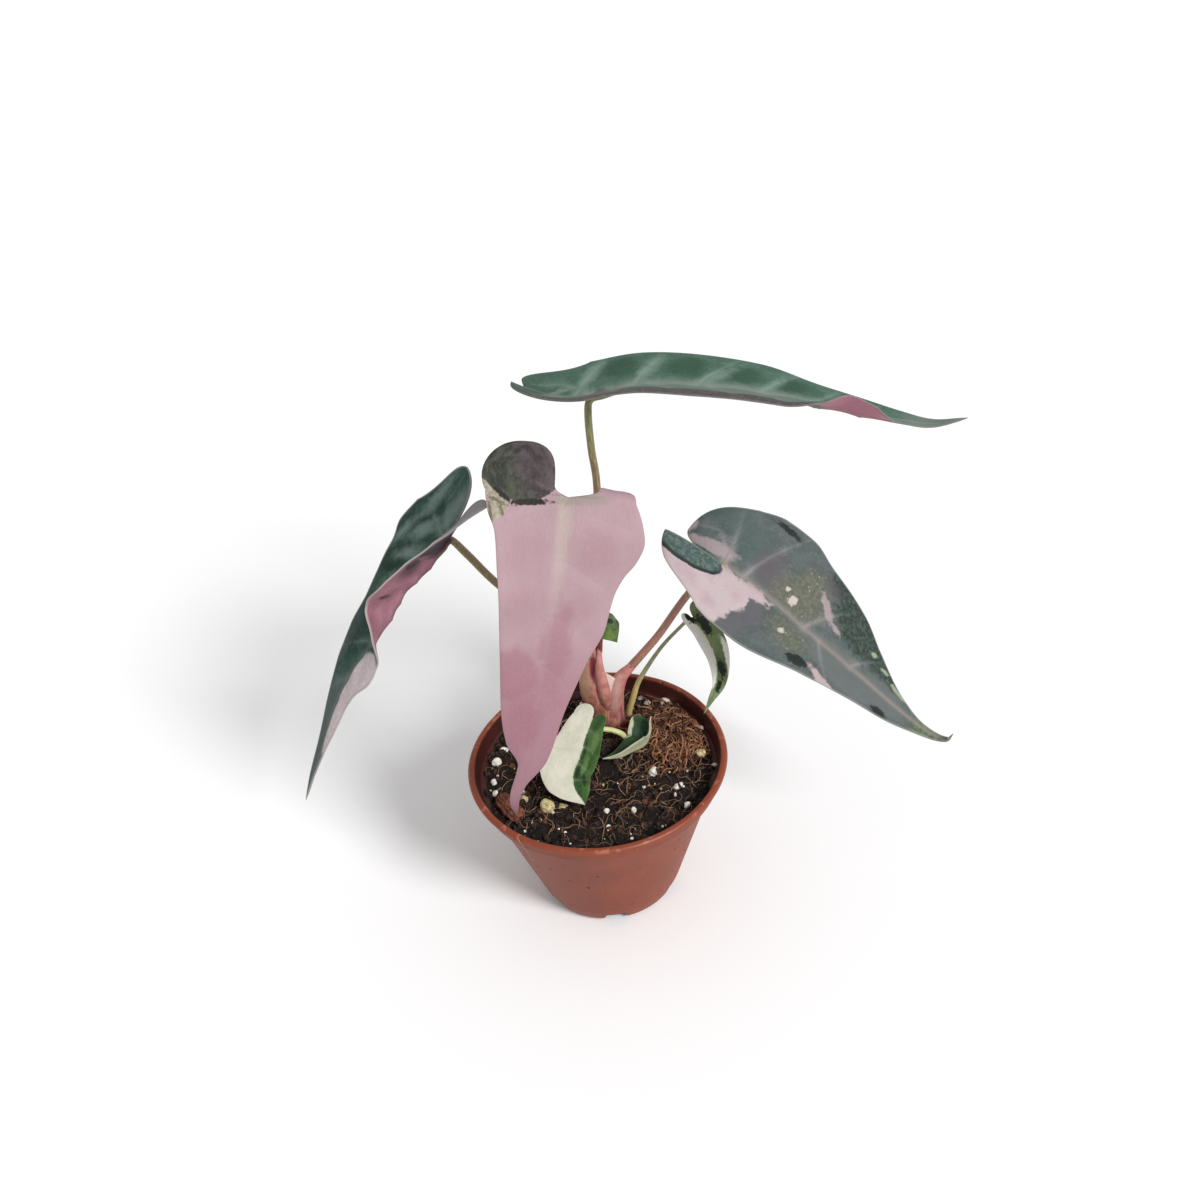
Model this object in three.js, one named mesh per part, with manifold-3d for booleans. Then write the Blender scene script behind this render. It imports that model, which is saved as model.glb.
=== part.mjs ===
// Potted pink variegated bambino arrow alocasia: a small aroid in a terracotta-coloured nursery pot.
// Millimetres, +Z up. The origin is the middle of the pot's foot, on the surface that it stands on,
// and +X runs along the broad side of the plant, from the drooping left leaf to the right one.
import * as THREE from "three";
import { mergeVertices } from "three/addons/utils/BufferGeometryUtils.js";
import Module from "manifold-3d";

// Pot: thin moulded plastic with a rolled lip, a collar and drainage slots round its bottom corner.
const POT_HEIGHT = 45.5;
const RIM_RADIUS = 35;
const LIP_WIDTH = 2;
const LIP_HEIGHT = 1.8;
const COLLAR_HEIGHT = 5.5;
const COLLAR_FOOT_RADIUS = 33;
const BODY_TOP_RADIUS = 31.3;
const CORNER_TOP_RADIUS = 20.2;
const CORNER_HEIGHT = 4.8;
const FOOT_RADIUS = 16.5;
const BEVEL_WIDTH = 2.2;
const BEVEL_HEIGHT = 1.2;
const COLLAR_STEP = 0.6;
const LIP_ROUND = 0.7;
const LIP_FOOT_ROUND = 0.4;
const WALL = 0.9;
const FLOOR = 1.2;
const POT_SIDES = 60;
const SLOT_COUNT = 6;
const SLOT_RADIUS = 2.8;
const SLOT_SIDES = 16;
const SLOT_DEPTH = 6;
const SLOT_FLATNESS = 0.6;
const SLOT_FROM_AXIS = 19.1;
const SLOT_RISE = 0.9;

// Soil: moist potting mix, level within a millimetre, with white grains pressed into it.
const SOIL_LEVEL = 40.6;
const SOIL_SIDES = 44;
const SOIL_RINGS = 11;
const SOIL_SHOULDER = 1;
// Each wave of the uneven top: height, waves per millimetre along x and y, and phase.
const SOIL_WAVES = [
  [0.3, 0.07, 0.045, 0.4],
  [0.22, -0.05, 0.11, 1.9],
  [0.14, 0.17, -0.12, 0.7],
];
// Place x, y and diameter of each white grain that lies open on the soil.
const GRAINS = [
  [-25.5, 11, 2.2],
  [-27.5, 6.5, 2.6],
  [-28.5, -0.5, 1.8],
  [-28, -5, 2],
  [-20.5, -8.5, 2.4],
  [-14.5, -12.5, 4.4],
  [14.5, -3.5, 2.8],
  [27.5, 0.5, 3],
  [8, -17, 2],
  [20, -10.5, 1.8],
  [15.5, 24, 2.2],
  [-12, 20, 2.4],
  [-19, 17, 2],
  [1, -21.5, 1.8],
  [-3, 25.5, 2.2],
  [22, -17.5, 2],
];
// A grain's three sizes as shares of its diameter, and how far its middle stands over the soil.
const GRAIN_SHAPE = [1, 0.85, 0.75];
const GRAIN_RISE = 0.15;
const GRAIN_SEED = 12;

// Gap that neighbouring pieces keep where they would touch.
const CLEARANCE = 0.3;
const WELD = 1e-3;

// Crown: the short stem and its two leaf sheaths, as tubes of [x, y, z, radius].
const CROWN_SIDES = 12;
const CROWN_STEP = 4;
const CROWN = {
  stem: [
    [5.6, 17, 33, 3.2],
    [5.5, 17, 40.5, 3.3],
    [4.6, 17, 46.5, 3.6],
  ],
  leftSheath: [
    [4.7, 17, 44, 3.3],
    [1.6, 17, 50.5, 3.9],
    [0.9, 17.2, 56.5, 3.7],
    [1.4, 17.5, 63, 3.1],
    [1.6, 17.8, 67.5, 2.9],
  ],
  rightSheath: [
    [5.4, 16.8, 44, 3.1],
    [6.2, 16.4, 49, 2.9],
    [6.9, 16.3, 54, 2.5],
    [9, 16.4, 57.8, 1.9],
    [11.6, 16.5, 60.8, 1.3],
  ],
  wing: [
    [6.2, 16.2, 48, 2.2],
    [5.6, 15.9, 54, 1.8],
    [5.3, 16.2, 59, 1.1],
    [4.9, 16.6, 62.5, 0.6],
  ],
};

// Fibre clump: a low tangle of dry roots and coir that lies on the soil at the right. section: the core as
// [share of its radius, height over the soil]. The fibres fan out over the sector that faces away from the
// stem, turn by up to the bend on the way, and follow the pot wall at the limit's distance from the axis.
const CLUMP = {
  centre: [22.5, 12],
  radius: 5.5,
  section: [[0.5, 0.1], [0.9, 0.1], [1, 0.5], [0.8, 1.65], [0.45, 2.2]],
  sides: 14,
  fibres: 26,
  sector: 145,
  spread: 0.6,
  bend: 0.6,
  start: 1.5,
  root: 1.4,
  reach: [5, 9.5],
  arch: [1.4, 3.6],
  landing: 0.2,
  limit: 29,
  thickness: 0.7,
  fibreSides: 4,
  fibreStep: 2,
  seed: 12,
};

// Bark chip: a curved strip that leans on the left front of the pot wall. ends: its width there, as a share.
// bow and hollow: how far it bends along and across.
const CHIP = {
  middle: [-24.4, -12, 41.9],
  length: 10,
  width: 4.2,
  thickness: 0.9,
  ends: 0.35,
  bow: 1,
  hollow: 0.5,
  heading: -58,
  tilt: 24,
  rows: 8,
  columns: 3,
};

const BLADE_THICKNESS = 0.7;
const BLADE_ROUGHNESS = 0.4;
const PETIOLE_ROUGHNESS = 0.5;
const LARGE = { lobeRows: 7, rows: 20, columns: 4 };
const SMALL = { lobeRows: 4, rows: 10, columns: 3 };

// The back lobe of a half blade. length: from the sinus to the lobe's end. turn: degrees that it bends
// down on the way. root: where it ends, as a share of the half's width. splay: degrees that it leans out.
// blunt and slit: how full its outer and inner edges are. gap: how far it stands off the midrib's line.
// flare: how far its outer edge bulges.
const LOBE = { length: 3, turn: 0, root: 0.5, splay: 5, blunt: 2.2, slit: 3, gap: 0, flare: 0 };
// The halves' lobes are parted by a slot at once, and by the gap over the first part of their length.
const SLOT = 0.25;
const SLOT_SHARE = 0.1;
const GAP_SHARE = 0.2;

// One entry for each leaf. midrib runs from the sinus, where the petiole joins, to the tip. face is the
// direction that the upper side looks in, at shares of the midrib's length. Each half has its width at the
// sinus, its outline as [share of the midrib, share of that width], its fold up from the flat and its curl
// towards the margin in degrees, and its back lobe. right is the half on the right hand of someone who
// stands on the upper side and looks at the tip. petiole runs from its foot to the sinus, as
// [x, y, z, radius].
const LEAVES = [
  {
    name: "pink",
    grid: LARGE,
    colours: [0xc99aa6, 0x8a6f5c],
    midrib: [
      [0.9, -6, 132.7], [-1.2, -12, 125], [-4, -15.5, 115], [-8, -18, 101], [-12, -20, 84.5],
      [-16.5, -21, 67], [-21.5, -20.5, 53.5], [-22.5, -18, 44],
    ],
    face: [[0, 0, -0.85, 0.57], [0.3, 0.39, -0.9, 0.35], [1, 0.1, -0.95, 0.2]],
    right: {
      width: 17.3,
      outline: [[0, 1], [0.2, 0.84], [0.4, 0.65], [0.6, 0.5], [0.7, 0.36], [0.78, 0.12], [0.9, 0.08], [1, 0]],
      fold: [[0, -9]],
      curl: [[-1, 5], [0, 18], [1, 0]],
      lobe: { ...LOBE, length: 11.5, turn: -27, root: 0.5, splay: 2, blunt: 2.7, slit: 5, gap: 3, flare: 3.2 },
    },
    left: {
      width: 15.8,
      outline: [
        [0, 1], [0.05, 1.14], [0.1, 1.22], [0.15, 1.165], [0.2, 1.025], [0.25, 0.955], [0.3, 0.94],
        [0.35, 0.925], [0.45, 0.7], [0.6, 0.44], [0.75, 0.3], [0.85, 0.1], [0.95, 0.06], [1, 0],
      ],
      fold: [[-1, -28], [0, 4], [1, 5]],
      curl: [[-1, 27], [0, -13], [1, 0]],
      lobe: { ...LOBE, length: 10.8, turn: 165, root: 0.6, splay: 0, blunt: 1.5, gap: 6.5 },
    },
    petiole: [
      [0.9, 16.2, 68.1, 1.15], [0.5, 15.8, 80, 1.15], [1, 14.6, 96, 1.1], [2, 11.2, 111, 1], [2.4, 5.5, 120.5, 1],
      [1.8, -0.5, 126, 0.95], [0.4, -6.9, 129.9, 0.9],
    ],
  },
  {
    name: "left",
    grid: LARGE,
    colours: [0x4f635c, 0x85785a],
    midrib: [
      [-29.5, 8, 115.5], [-36, 6, 109], [-42.5, 4, 104], [-48, 2, 96.5], [-53.5, 0.5, 90],
      [-59, -1, 83.5], [-64, -2.5, 75.5], [-69, -5, 65.5], [-77, -8, 49],
    ],
    face: [[0, -0.6, -0.3, 0.6], [0.5, -0.7, -0.3, 0.6], [1, -0.7, -0.3, 0.5]],
    right: {
      width: 16.5,
      outline: [
        [0, 1], [0.08, 1.06], [0.16, 0.87], [0.24, 0.72], [0.32, 0.7], [0.4, 0.67], [0.5, 0.52], [0.6, 0.36],
        [0.7, 0.24], [0.8, 0.17], [0.9, 0.12], [0.96, 0.06], [1, 0],
      ],
      fold: [[0, 7]],
      curl: [[0, 0]],
      lobe: { ...LOBE, length: 17.2, turn: -22, root: 0.3, splay: 2.6, blunt: 1.6, slit: 5, flare: -1.8 },
    },
    left: {
      width: 11.3,
      outline: [
        [0, 1], [0.1, 1.2], [0.2, 1.15], [0.28, 0.75], [0.35, 0.65], [0.41, 0.79], [0.47, 0.88],
        [0.55, 0.62], [0.65, 0.4], [0.75, 0.36], [0.86, 0.26], [0.95, 0.07], [1, 0],
      ],
      fold: [
        [-1, 25], [0, 50], [0.1, 58], [0.2, 60], [0.28, 80], [0.35, 44], [0.41, 8], [0.47, 5], [0.55, 6],
        [0.65, 0], [0.8, 18], [1, 30],
      ],
      curl: [[0, 0]],
      lobe: {
        ...LOBE, length: 20.1, turn: -13, root: 0.75, splay: 25, blunt: 1.8, slit: 3.2, flare: -2, gap: -2.5,
      },
    },
    petiole: [
      [-0.3, 18.5, 68.8, 1.15], [-3.2, 17.8, 74, 1.1], [-12, 15.2, 84.5, 1.05], [-20.4, 13, 97, 1],
      [-25.8, 11, 107.6, 1], [-29.2, 8.8, 114.7, 0.9],
    ],
  },
  {
    name: "top",
    grid: LARGE,
    colours: [0x52665c, 0x7d8460],
    midrib: [
      [9, 22, 142.5], [21, 21, 144], [35, 19, 143], [49, 17, 140.5], [65, 14, 136.5], [81, 11, 132],
      [89, 9, 131], [96.5, 7, 133.5],
    ],
    face: [[0, 0, 0.2, 1]],
    right: {
      width: 17.5,
      outline: [
        [0, 1], [0.1, 1.04], [0.2, 1.08], [0.3, 0.99], [0.4, 0.84], [0.6, 0.6], [0.75, 0.4], [0.88, 0.2],
        [0.95, 0.1], [1, 0],
      ],
      fold: [[-1, 13], [0, 15], [0.5, 10], [0.6, 22], [0.67, 42], [0.73, 38], [0.8, 18], [1, 15]],
      curl: [[0, 0]],
      lobe: { ...LOBE, length: 19.9, turn: -37, root: 0.14, splay: -20, blunt: 4, slit: 3.3, flare: -3 },
    },
    left: {
      width: 13.3,
      outline: [
        [0, 1], [0.12, 0.99], [0.25, 0.97], [0.35, 0.93], [0.45, 0.86], [0.6, 0.58], [0.75, 0.42],
        [0.88, 0.24], [0.95, 0.12], [1, 0],
      ],
      fold: [[0, 19]],
      curl: [[0, 0]],
      lobe: { ...LOBE, length: 17.1, turn: 13, root: 0.69, splay: 17, slit: 4, flare: -2.7, gap: -2 },
    },
    petiole: [
      [2.4, 19.6, 68.1, 1.15], [3.6, 19.8, 80, 1.1], [5.7, 19.5, 96, 1], [7.9, 20, 117, 0.95],
      [7.6, 20.8, 128, 0.95], [7.7, 21.5, 137, 0.95], [8.5, 21.9, 141.5, 0.9],
    ],
  },
  {
    name: "right",
    grid: LARGE,
    colours: [0x8b8f88, 0x9a7468],
    midrib: [
      [38, 16, 92.5], [47, 12, 85], [56.5, 8, 75.5], [68.5, 3, 63.5], [79.5, -2, 52.5], [87, -6, 46.5],
      [91.5, -9, 45.5], [93, -11, 49],
    ],
    face: [[0, 0.2, -0.6, 0.77], [0.5, 0.3, -0.6, 0.7], [1, 0.2, -0.6, 0.7]],
    right: {
      width: 14.7,
      outline: [
        [0, 1], [0.06, 1.07], [0.15, 1.1], [0.4, 0.76], [0.6, 0.5], [0.75, 0.33], [0.87, 0.14], [0.95, 0.05],
        [1, 0],
      ],
      fold: [[-1, 20], [0, 6]],
      curl: [[0, 0]],
      // The inner part of this lobe stands up along its vein: by 13 mm at the end, up to 0.75 of the width.
      lobe: {
        ...LOBE, length: 16.4, turn: 20, root: 0.1, splay: 3.9, blunt: 1.9, slit: 1.3, flare: -1.8, lift: 5,
        crease: 0.6,
      },
    },
    left: {
      width: 17.3,
      outline: [
        [0, 1], [0.1, 1.15], [0.2, 1.17], [0.3, 1.05], [0.4, 0.94], [0.5, 0.78], [0.6, 0.52], [0.75, 0.2],
        [0.85, 0.08], [0.95, 0.04], [1, 0],
      ],
      fold: [[0, 5]],
      curl: [[0, 0]],
      lobe: {
        ...LOBE, length: 12.3, turn: 25, root: 0.22, splay: -6.5, blunt: 2, slit: 1.3, flare: -1, gap: -1.6,
      },
    },
    petiole: [
      [11.9, 16.5, 61.2, 1.2], [16, 16.5, 66, 1.1], [20.4, 16.5, 71.5, 1.05], [29, 16.9, 83.6, 1],
      [37.2, 16.3, 91.5, 0.9],
    ],
  },
  {
    name: "arched",
    grid: SMALL,
    colours: [0x6f8a5e, 0xb1a670],
    midrib: [[30, 25, 68.5], [32.5, 23.5, 64.5], [35, 20, 58.5], [35, 16.5, 52.5], [32.5, 13, 49.5], [30, 10, 46.5]],
    face: [[0, 0.1, -0.8, 0.5], [1, 0, -0.9, 0.3]],
    right: {
      width: 2.8,
      outline: [[0, 1], [0.25, 1.05], [0.5, 0.8], [0.75, 0.4], [0.9, 0.15], [1, 0]],
      fold: [[0, 20]],
      curl: [[0, 0]],
      lobe: { ...LOBE, length: 3 },
    },
    left: {
      width: 4.5,
      outline: [[0, 1], [0.25, 1.05], [0.5, 0.8], [0.75, 0.4], [0.9, 0.15], [1, 0]],
      fold: [[0, 20]],
      curl: [[0, 0]],
      lobe: { ...LOBE, length: 4 },
    },
    petiole: [
      [9.6, 20.4, 34.5, 0.9], [9.9, 20.5, 40.5, 0.9], [11.6, 20.8, 46, 0.85], [14, 22, 51.5, 0.7],
      [20.3, 23.5, 60.2, 0.55], [26, 25, 65.4, 0.5], [28.9, 25.4, 67.9, 0.5],
    ],
  },
  {
    name: "cream",
    grid: SMALL,
    colours: [0xdcd8c4, 0xc3c28a],
    midrib: [[0, 5, 54], [-2, 2, 51.5], [-4, -3, 49], [-6.5, -8, 47], [-6.5, -12, 45.5], [-4.5, -16, 43.5]],
    face: [[0, -0.3, -0.6, 0.8], [1, 0, -0.6, 0.8]],
    right: {
      width: 5.5,
      outline: [[0, 1], [0.2, 1.3], [0.4, 1.65], [0.6, 1.7], [0.75, 1.3], [0.88, 0.55], [1, 0]],
      fold: [[0, 10]],
      curl: [[0, 0]],
      lobe: { ...LOBE, length: 3.5, root: 0.4, splay: 0 },
    },
    left: {
      width: 4.5,
      outline: [[0, 1], [0.25, 1.15], [0.5, 1.2], [0.75, 1.1], [0.9, 0.8], [1, 0]],
      fold: [[0, 20]],
      curl: [[0, 0]],
      lobe: { ...LOBE, length: 2, splay: 0 },
    },
    petiole: [
      [8.9, 9.2, 35.5, 0.9], [8.7, 9, 40.5, 0.85], [7.4, 9, 43.6, 0.8], [4.7, 9, 45.6, 0.75],
      [1.9, 8.4, 47.2, 0.7], [0.9, 7.2, 50.4, 0.65], [0.5, 5.8, 53, 0.6],
    ],
  },
  {
    name: "cupped",
    grid: SMALL,
    colours: [0x3f5a3d, 0xb9b78c],
    midrib: [[15, 9, 46], [13.5, 5.5, 43], [10, 3.5, 42.6], [5.5, 1.5, 42.6], [1.2, 0, 44]],
    face: [[0, -0.2, 0.1, 1]],
    right: {
      width: 5.5,
      outline: [[0, 1], [0.25, 1.05], [0.5, 0.8], [0.75, 0.4], [0.9, 0.15], [1, 0]],
      fold: [[0, 20]],
      curl: [[0, 0]],
      lobe: { ...LOBE, length: 2 },
    },
    left: {
      width: 5,
      outline: [[0, 1], [0.25, 1.05], [0.5, 0.8], [0.75, 0.4], [0.9, 0.15], [1, 0]],
      fold: [[0, 60]],
      curl: [[0, 0]],
      lobe: { ...LOBE, length: 2 },
    },
    petiole: [
      [14.2, 13.4, 36, 0.75], [14.3, 13, 41, 0.75], [14.7, 11.5, 44.4, 0.65], [15, 10, 45.6, 0.6],
    ],
  },
  {
    name: "bud",
    grid: SMALL,
    colours: [0x5d7a4a, 0x6b2f36],
    midrib: [[6.2, 11, 80.6], [7.6, 10, 78], [8.7, 9, 76]],
    face: [[0, 0.3, -0.6, 0.7]],
    right: {
      width: 3.2,
      outline: [[0, 1], [0.25, 1.05], [0.5, 0.8], [0.75, 0.4], [0.9, 0.15], [1, 0]],
      fold: [[0, 10]],
      curl: [[0, 0]],
      lobe: { ...LOBE, length: 2.4 },
    },
    left: {
      width: 3.2,
      outline: [[0, 1], [0.25, 1.05], [0.5, 0.8], [0.75, 0.4], [0.9, 0.15], [1, 0]],
      fold: [[0, 10]],
      curl: [[0, 0]],
      lobe: { ...LOBE, length: 2.4 },
    },
    petiole: [[3.5, 16.8, 68.1, 0.7], [4.5, 15, 73, 0.65], [5.3, 12.9, 77.3, 0.55], [5.8, 11.7, 79.9, 0.5]],
  },
];
// The petioles whose feet stand in the soil; the others grow out of the crown's sheaths.
const ROOTED = ["arched", "cream", "cupped"];
const PETIOLE_SIDES = 8;
const PETIOLE_STEP = 6;

const wasm = await Module();
wasm.setup();

const plant = new THREE.Group();
const { clamp, degToRad } = THREE.MathUtils;
const vector = (place) => new THREE.Vector3(place[0], place[1], place[2]);

function add(name, geometry, colour, roughness) {
  const material = new THREE.MeshStandardMaterial({ color: colour, roughness, metalness: 0 });
  geometry.computeVertexNormals();
  const mesh = new THREE.Mesh(geometry, material);
  mesh.name = name;
  plant.add(mesh);
}

// A repeatable stream of numbers between 0 and 1.
function randomStream(seed) {
  const factor = 48271;
  const range = 2 ** 31 - 1;
  let state = seed;
  return () => {
    state = (state * factor) % range;
    return state / range;
  };
}

// The height of a smooth curve through [x, y] pairs that never overshoots them.
function curve(pairs, x) {
  if (pairs.length === 1) return pairs[0][1];
  const at = clamp(x, pairs[0][0], pairs.at(-1)[0]);
  const steps = pairs.slice(1).map((pair, i) => (pair[1] - pairs[i][1]) / (pair[0] - pairs[i][0]));
  const slope = (i) => {
    if (i === 0 || i === pairs.length - 1) return steps[Math.min(i, steps.length - 1)];
    const [before, after] = [steps[i - 1], steps[i]];
    return before * after > 0 ? (2 * before * after) / (before + after) : 0;
  };
  const i = clamp(pairs.findLastIndex((pair) => pair[0] <= at), 0, pairs.length - 2);
  const width = pairs[i + 1][0] - pairs[i][0];
  const t = (at - pairs[i][0]) / width;
  const [start, end] = [pairs[i][1], pairs[i + 1][1]];
  return (
    (2 * t ** 3 - 3 * t ** 2 + 1) * start +
    (t ** 3 - 2 * t ** 2 + t) * width * slope(i) +
    (3 * t ** 2 - 2 * t ** 3) * end +
    (t ** 3 - t ** 2) * width * slope(i + 1)
  );
}

// A geometry from points and triangles, with its faces turned to point outwards.
function body(points, triangles) {
  const volume = triangles.reduce((sum, [a, b, c]) => {
    return sum + points[a].dot(points[b].clone().cross(points[c])) / 6;
  }, 0);
  const index = triangles.flatMap(([a, b, c]) => (volume < 0 ? [a, c, b] : [a, b, c]));
  const geometry = new THREE.BufferGeometry().setFromPoints(points);
  geometry.setIndex(index);
  return geometry;
}

// Joins rings of points into a closed skin, with a fan to the first and to the last point.
function skin(first, rings, last) {
  const sides = rings[0].length;
  const points = [first, ...rings.flat(), last];
  const triangles = [];
  for (let side = 0; side < sides; side++) {
    const next = (side + 1) % sides;
    triangles.push([0, 1 + next, 1 + side]);
    for (let ring = 0; ring < rings.length - 1; ring++) {
      const [a, b] = [1 + ring * sides + side, 1 + ring * sides + next];
      triangles.push([a, b, b + sides], [a, b + sides, a + sides]);
    }
    const top = 1 + (rings.length - 1) * sides;
    triangles.push([top + side, top + next, points.length - 1]);
  }
  return body(points, triangles);
}

// A round tube through [x, y, z, radius] places. grow makes it thicker and longer at both ends.
function tube(places, sides, step, grow = 0) {
  const path = new THREE.CatmullRomCurve3(places.map(vector), false, "catmullrom", 0.5);
  const shares = places.map((place, i) => [i / (places.length - 1), place[3]]);
  const count = Math.max(2, Math.ceil(path.getLength() / step));
  const frames = path.computeFrenetFrames(count, false);
  const rings = [];
  for (let i = 0; i <= count; i++) {
    const middle = path.getPointAt(i / count);
    const end = i === 0 ? -1 : i === count ? 1 : 0;
    middle.addScaledVector(frames.tangents[i], end * grow);
    const radius = curve(shares, path.getUtoTmapping(i / count)) + grow;
    const ring = [];
    for (let side = 0; side < sides; side++) {
      const angle = (2 * Math.PI * side) / sides;
      const out = frames.normals[i].clone().multiplyScalar(radius * Math.cos(angle));
      out.addScaledVector(frames.binormals[i], radius * Math.sin(angle));
      ring.push(middle.clone().add(out));
    }
    rings.push(ring);
  }
  const middleOf = (ring) => ring.reduce((sum, p) => sum.add(p), new THREE.Vector3()).divideScalar(sides);
  return skin(middleOf(rings[0]), rings, middleOf(rings.at(-1)));
}

// A sheet of points and triangles, given its thickness along its normals and closed round its edge.
function thicken(points, triangles, thickness) {
  const normals = points.map(() => new THREE.Vector3());
  const edges = new Map();
  for (const [a, b, c] of triangles) {
    const across = points[b].clone().sub(points[a]).cross(points[c].clone().sub(points[a]));
    for (const corner of [a, b, c]) normals[corner].add(across);
    for (const [from, to] of [[a, b], [b, c], [c, a]]) edges.set(from + " " + to, [from, to]);
  }
  const raised = (side) => points.map((p, i) => {
    return p.clone().addScaledVector(normals[i].clone().normalize(), (side * thickness) / 2);
  });
  const below = points.length;
  const faces = [];
  for (const [a, b, c] of triangles) faces.push([a, b, c], [a + below, c + below, b + below]);
  for (const [from, to] of edges.values()) {
    if (edges.has(to + " " + from)) continue;
    faces.push([to, from, from + below], [to, from + below, to + below]);
  }
  return body([...raised(1), ...raised(-1)], faces);
}

// A closed geometry as a solid for cutting and joining: corners shared, empty triangles left out.
function solid(geometry) {
  const bare = geometry.clone();
  bare.deleteAttribute("normal");
  bare.deleteAttribute("uv");
  const welded = mergeVertices(bare, WELD);
  const index = welded.index.array;
  const kept = [];
  for (let i = 0; i < index.length; i += 3) {
    const [a, b, c] = index.slice(i, i + 3);
    if (a !== b && b !== c && c !== a) kept.push(a, b, c);
  }
  const vertProperties = welded.attributes.position.array;
  return new wasm.Manifold(new wasm.Mesh({ numProp: 3, vertProperties, triVerts: new Uint32Array(kept) }));
}

function geometryOf(made) {
  const { vertProperties, triVerts } = made.getMesh();
  const geometry = new THREE.BufferGeometry();
  geometry.setAttribute("position", new THREE.BufferAttribute(vertProperties, 3));
  geometry.setIndex(new THREE.BufferAttribute(triVerts, 1));
  return geometry;
}

const joined = (geometries) => geometries.map(solid).reduce((all, next) => all.add(next));

// Pot: its wall turned about the axis, then the drainage slots cut through its bottom corner.
function makePot() {
  const collarFoot = POT_HEIGHT - COLLAR_HEIGHT;
  const lipFoot = POT_HEIGHT - LIP_HEIGHT;
  const collarTop = RIM_RADIUS - LIP_WIDTH / 2;
  const profile = [
    [0, 0],
    [FOOT_RADIUS, 0],
    [FOOT_RADIUS + BEVEL_WIDTH, BEVEL_HEIGHT],
    [CORNER_TOP_RADIUS, CORNER_HEIGHT],
    [BODY_TOP_RADIUS, collarFoot - COLLAR_STEP],
    [COLLAR_FOOT_RADIUS, collarFoot],
    [collarTop - LIP_FOOT_ROUND, lipFoot],
    [RIM_RADIUS - LIP_FOOT_ROUND / 2, lipFoot + LIP_FOOT_ROUND],
    [RIM_RADIUS, POT_HEIGHT - LIP_ROUND],
    [RIM_RADIUS - LIP_ROUND, POT_HEIGHT],
    [RIM_RADIUS - LIP_WIDTH + LIP_ROUND / 2, POT_HEIGHT],
    [RIM_RADIUS - LIP_WIDTH, POT_HEIGHT - LIP_ROUND],
    [COLLAR_FOOT_RADIUS - WALL, collarFoot + WALL],
    [BODY_TOP_RADIUS - WALL, collarFoot + WALL - COLLAR_STEP],
    [CORNER_TOP_RADIUS - WALL, CORNER_HEIGHT],
    [FOOT_RADIUS + BEVEL_WIDTH - WALL, FLOOR + WALL],
    [FOOT_RADIUS - WALL, FLOOR],
    [0, FLOOR],
  ];
  const points = profile.map(([radius, height]) => new THREE.Vector2(radius, height));
  const wall = new THREE.LatheGeometry(points, POT_SIDES).rotateX(Math.PI / 2);
  const slots = [];
  for (let i = 0; i < SLOT_COUNT; i++) {
    const angle = (2 * Math.PI * (i + 0.5)) / SLOT_COUNT;
    const slot = new THREE.CylinderGeometry(SLOT_RADIUS, SLOT_RADIUS, SLOT_DEPTH, SLOT_SIDES);
    slot.rotateZ(Math.PI / 2).scale(1, 1, SLOT_FLATNESS).rotateZ(angle);
    slot.translate(SLOT_FROM_AXIS * Math.cos(angle), SLOT_FROM_AXIS * Math.sin(angle), SLOT_RISE);
    slots.push(slot);
  }
  return geometryOf(solid(wall).subtract(joined(slots)));
}

function soilHeight(x, y) {
  return SOIL_WAVES.reduce((height, [rise, alongX, alongY, phase]) => {
    return height + rise * Math.sin(2 * Math.PI * (alongX * x + alongY * y) + phase);
  }, SOIL_LEVEL);
}

// Soil: an uneven top over a plug that follows the pot's wall, with grains and plain planting holes.
function makeSoil() {
  const ringAt = (radius, height) => {
    const ring = [];
    for (let side = 0; side < SOIL_SIDES; side++) {
      const angle = (2 * Math.PI * side) / SOIL_SIDES;
      const [x, y] = [radius * Math.cos(angle), radius * Math.sin(angle)];
      ring.push(new THREE.Vector3(x, y, height ?? soilHeight(x, y)));
    }
    return ring;
  };
  const gap = WALL + CLEARANCE;
  const topRadius = BODY_TOP_RADIUS - gap;
  const rings = [];
  for (let i = 1; i <= SOIL_RINGS; i++) rings.push(ringAt((topRadius * i) / SOIL_RINGS));
  rings.push(ringAt(topRadius - SOIL_SHOULDER / 2, POT_HEIGHT - COLLAR_HEIGHT - SOIL_SHOULDER));
  rings.push(ringAt(CORNER_TOP_RADIUS - gap, CORNER_HEIGHT));
  rings.push(ringAt(FOOT_RADIUS - gap, FLOOR + CLEARANCE));
  const middle = new THREE.Vector3(0, 0, soilHeight(0, 0));
  let soil = solid(skin(middle, rings, new THREE.Vector3(0, 0, FLOOR + CLEARANCE)));
  const random = randomStream(GRAIN_SEED);
  for (const [x, y, diameter] of GRAINS) {
    const grain = new THREE.IcosahedronGeometry(diameter / 2, 0).scale(...GRAIN_SHAPE);
    grain.rotateX(random() * Math.PI).rotateZ(random() * Math.PI);
    grain.translate(x, y, soilHeight(x, y) + GRAIN_RISE * diameter);
    soil = soil.add(solid(grain));
  }
  const standing = LEAVES.filter((leaf) => ROOTED.includes(leaf.name)).map((leaf) => leaf.petiole);
  for (const places of standing) soil = soil.subtract(solid(tube(places, PETIOLE_SIDES, PETIOLE_STEP, CLEARANCE)));
  return geometryOf(soil.subtract(solid(tube(CROWN.stem, CROWN_SIDES, CROWN_STEP, CLEARANCE))));
}

function makeCrown() {
  return geometryOf(joined(Object.values(CROWN).map((places) => tube(places, CROWN_SIDES, CROWN_STEP))));
}

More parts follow.
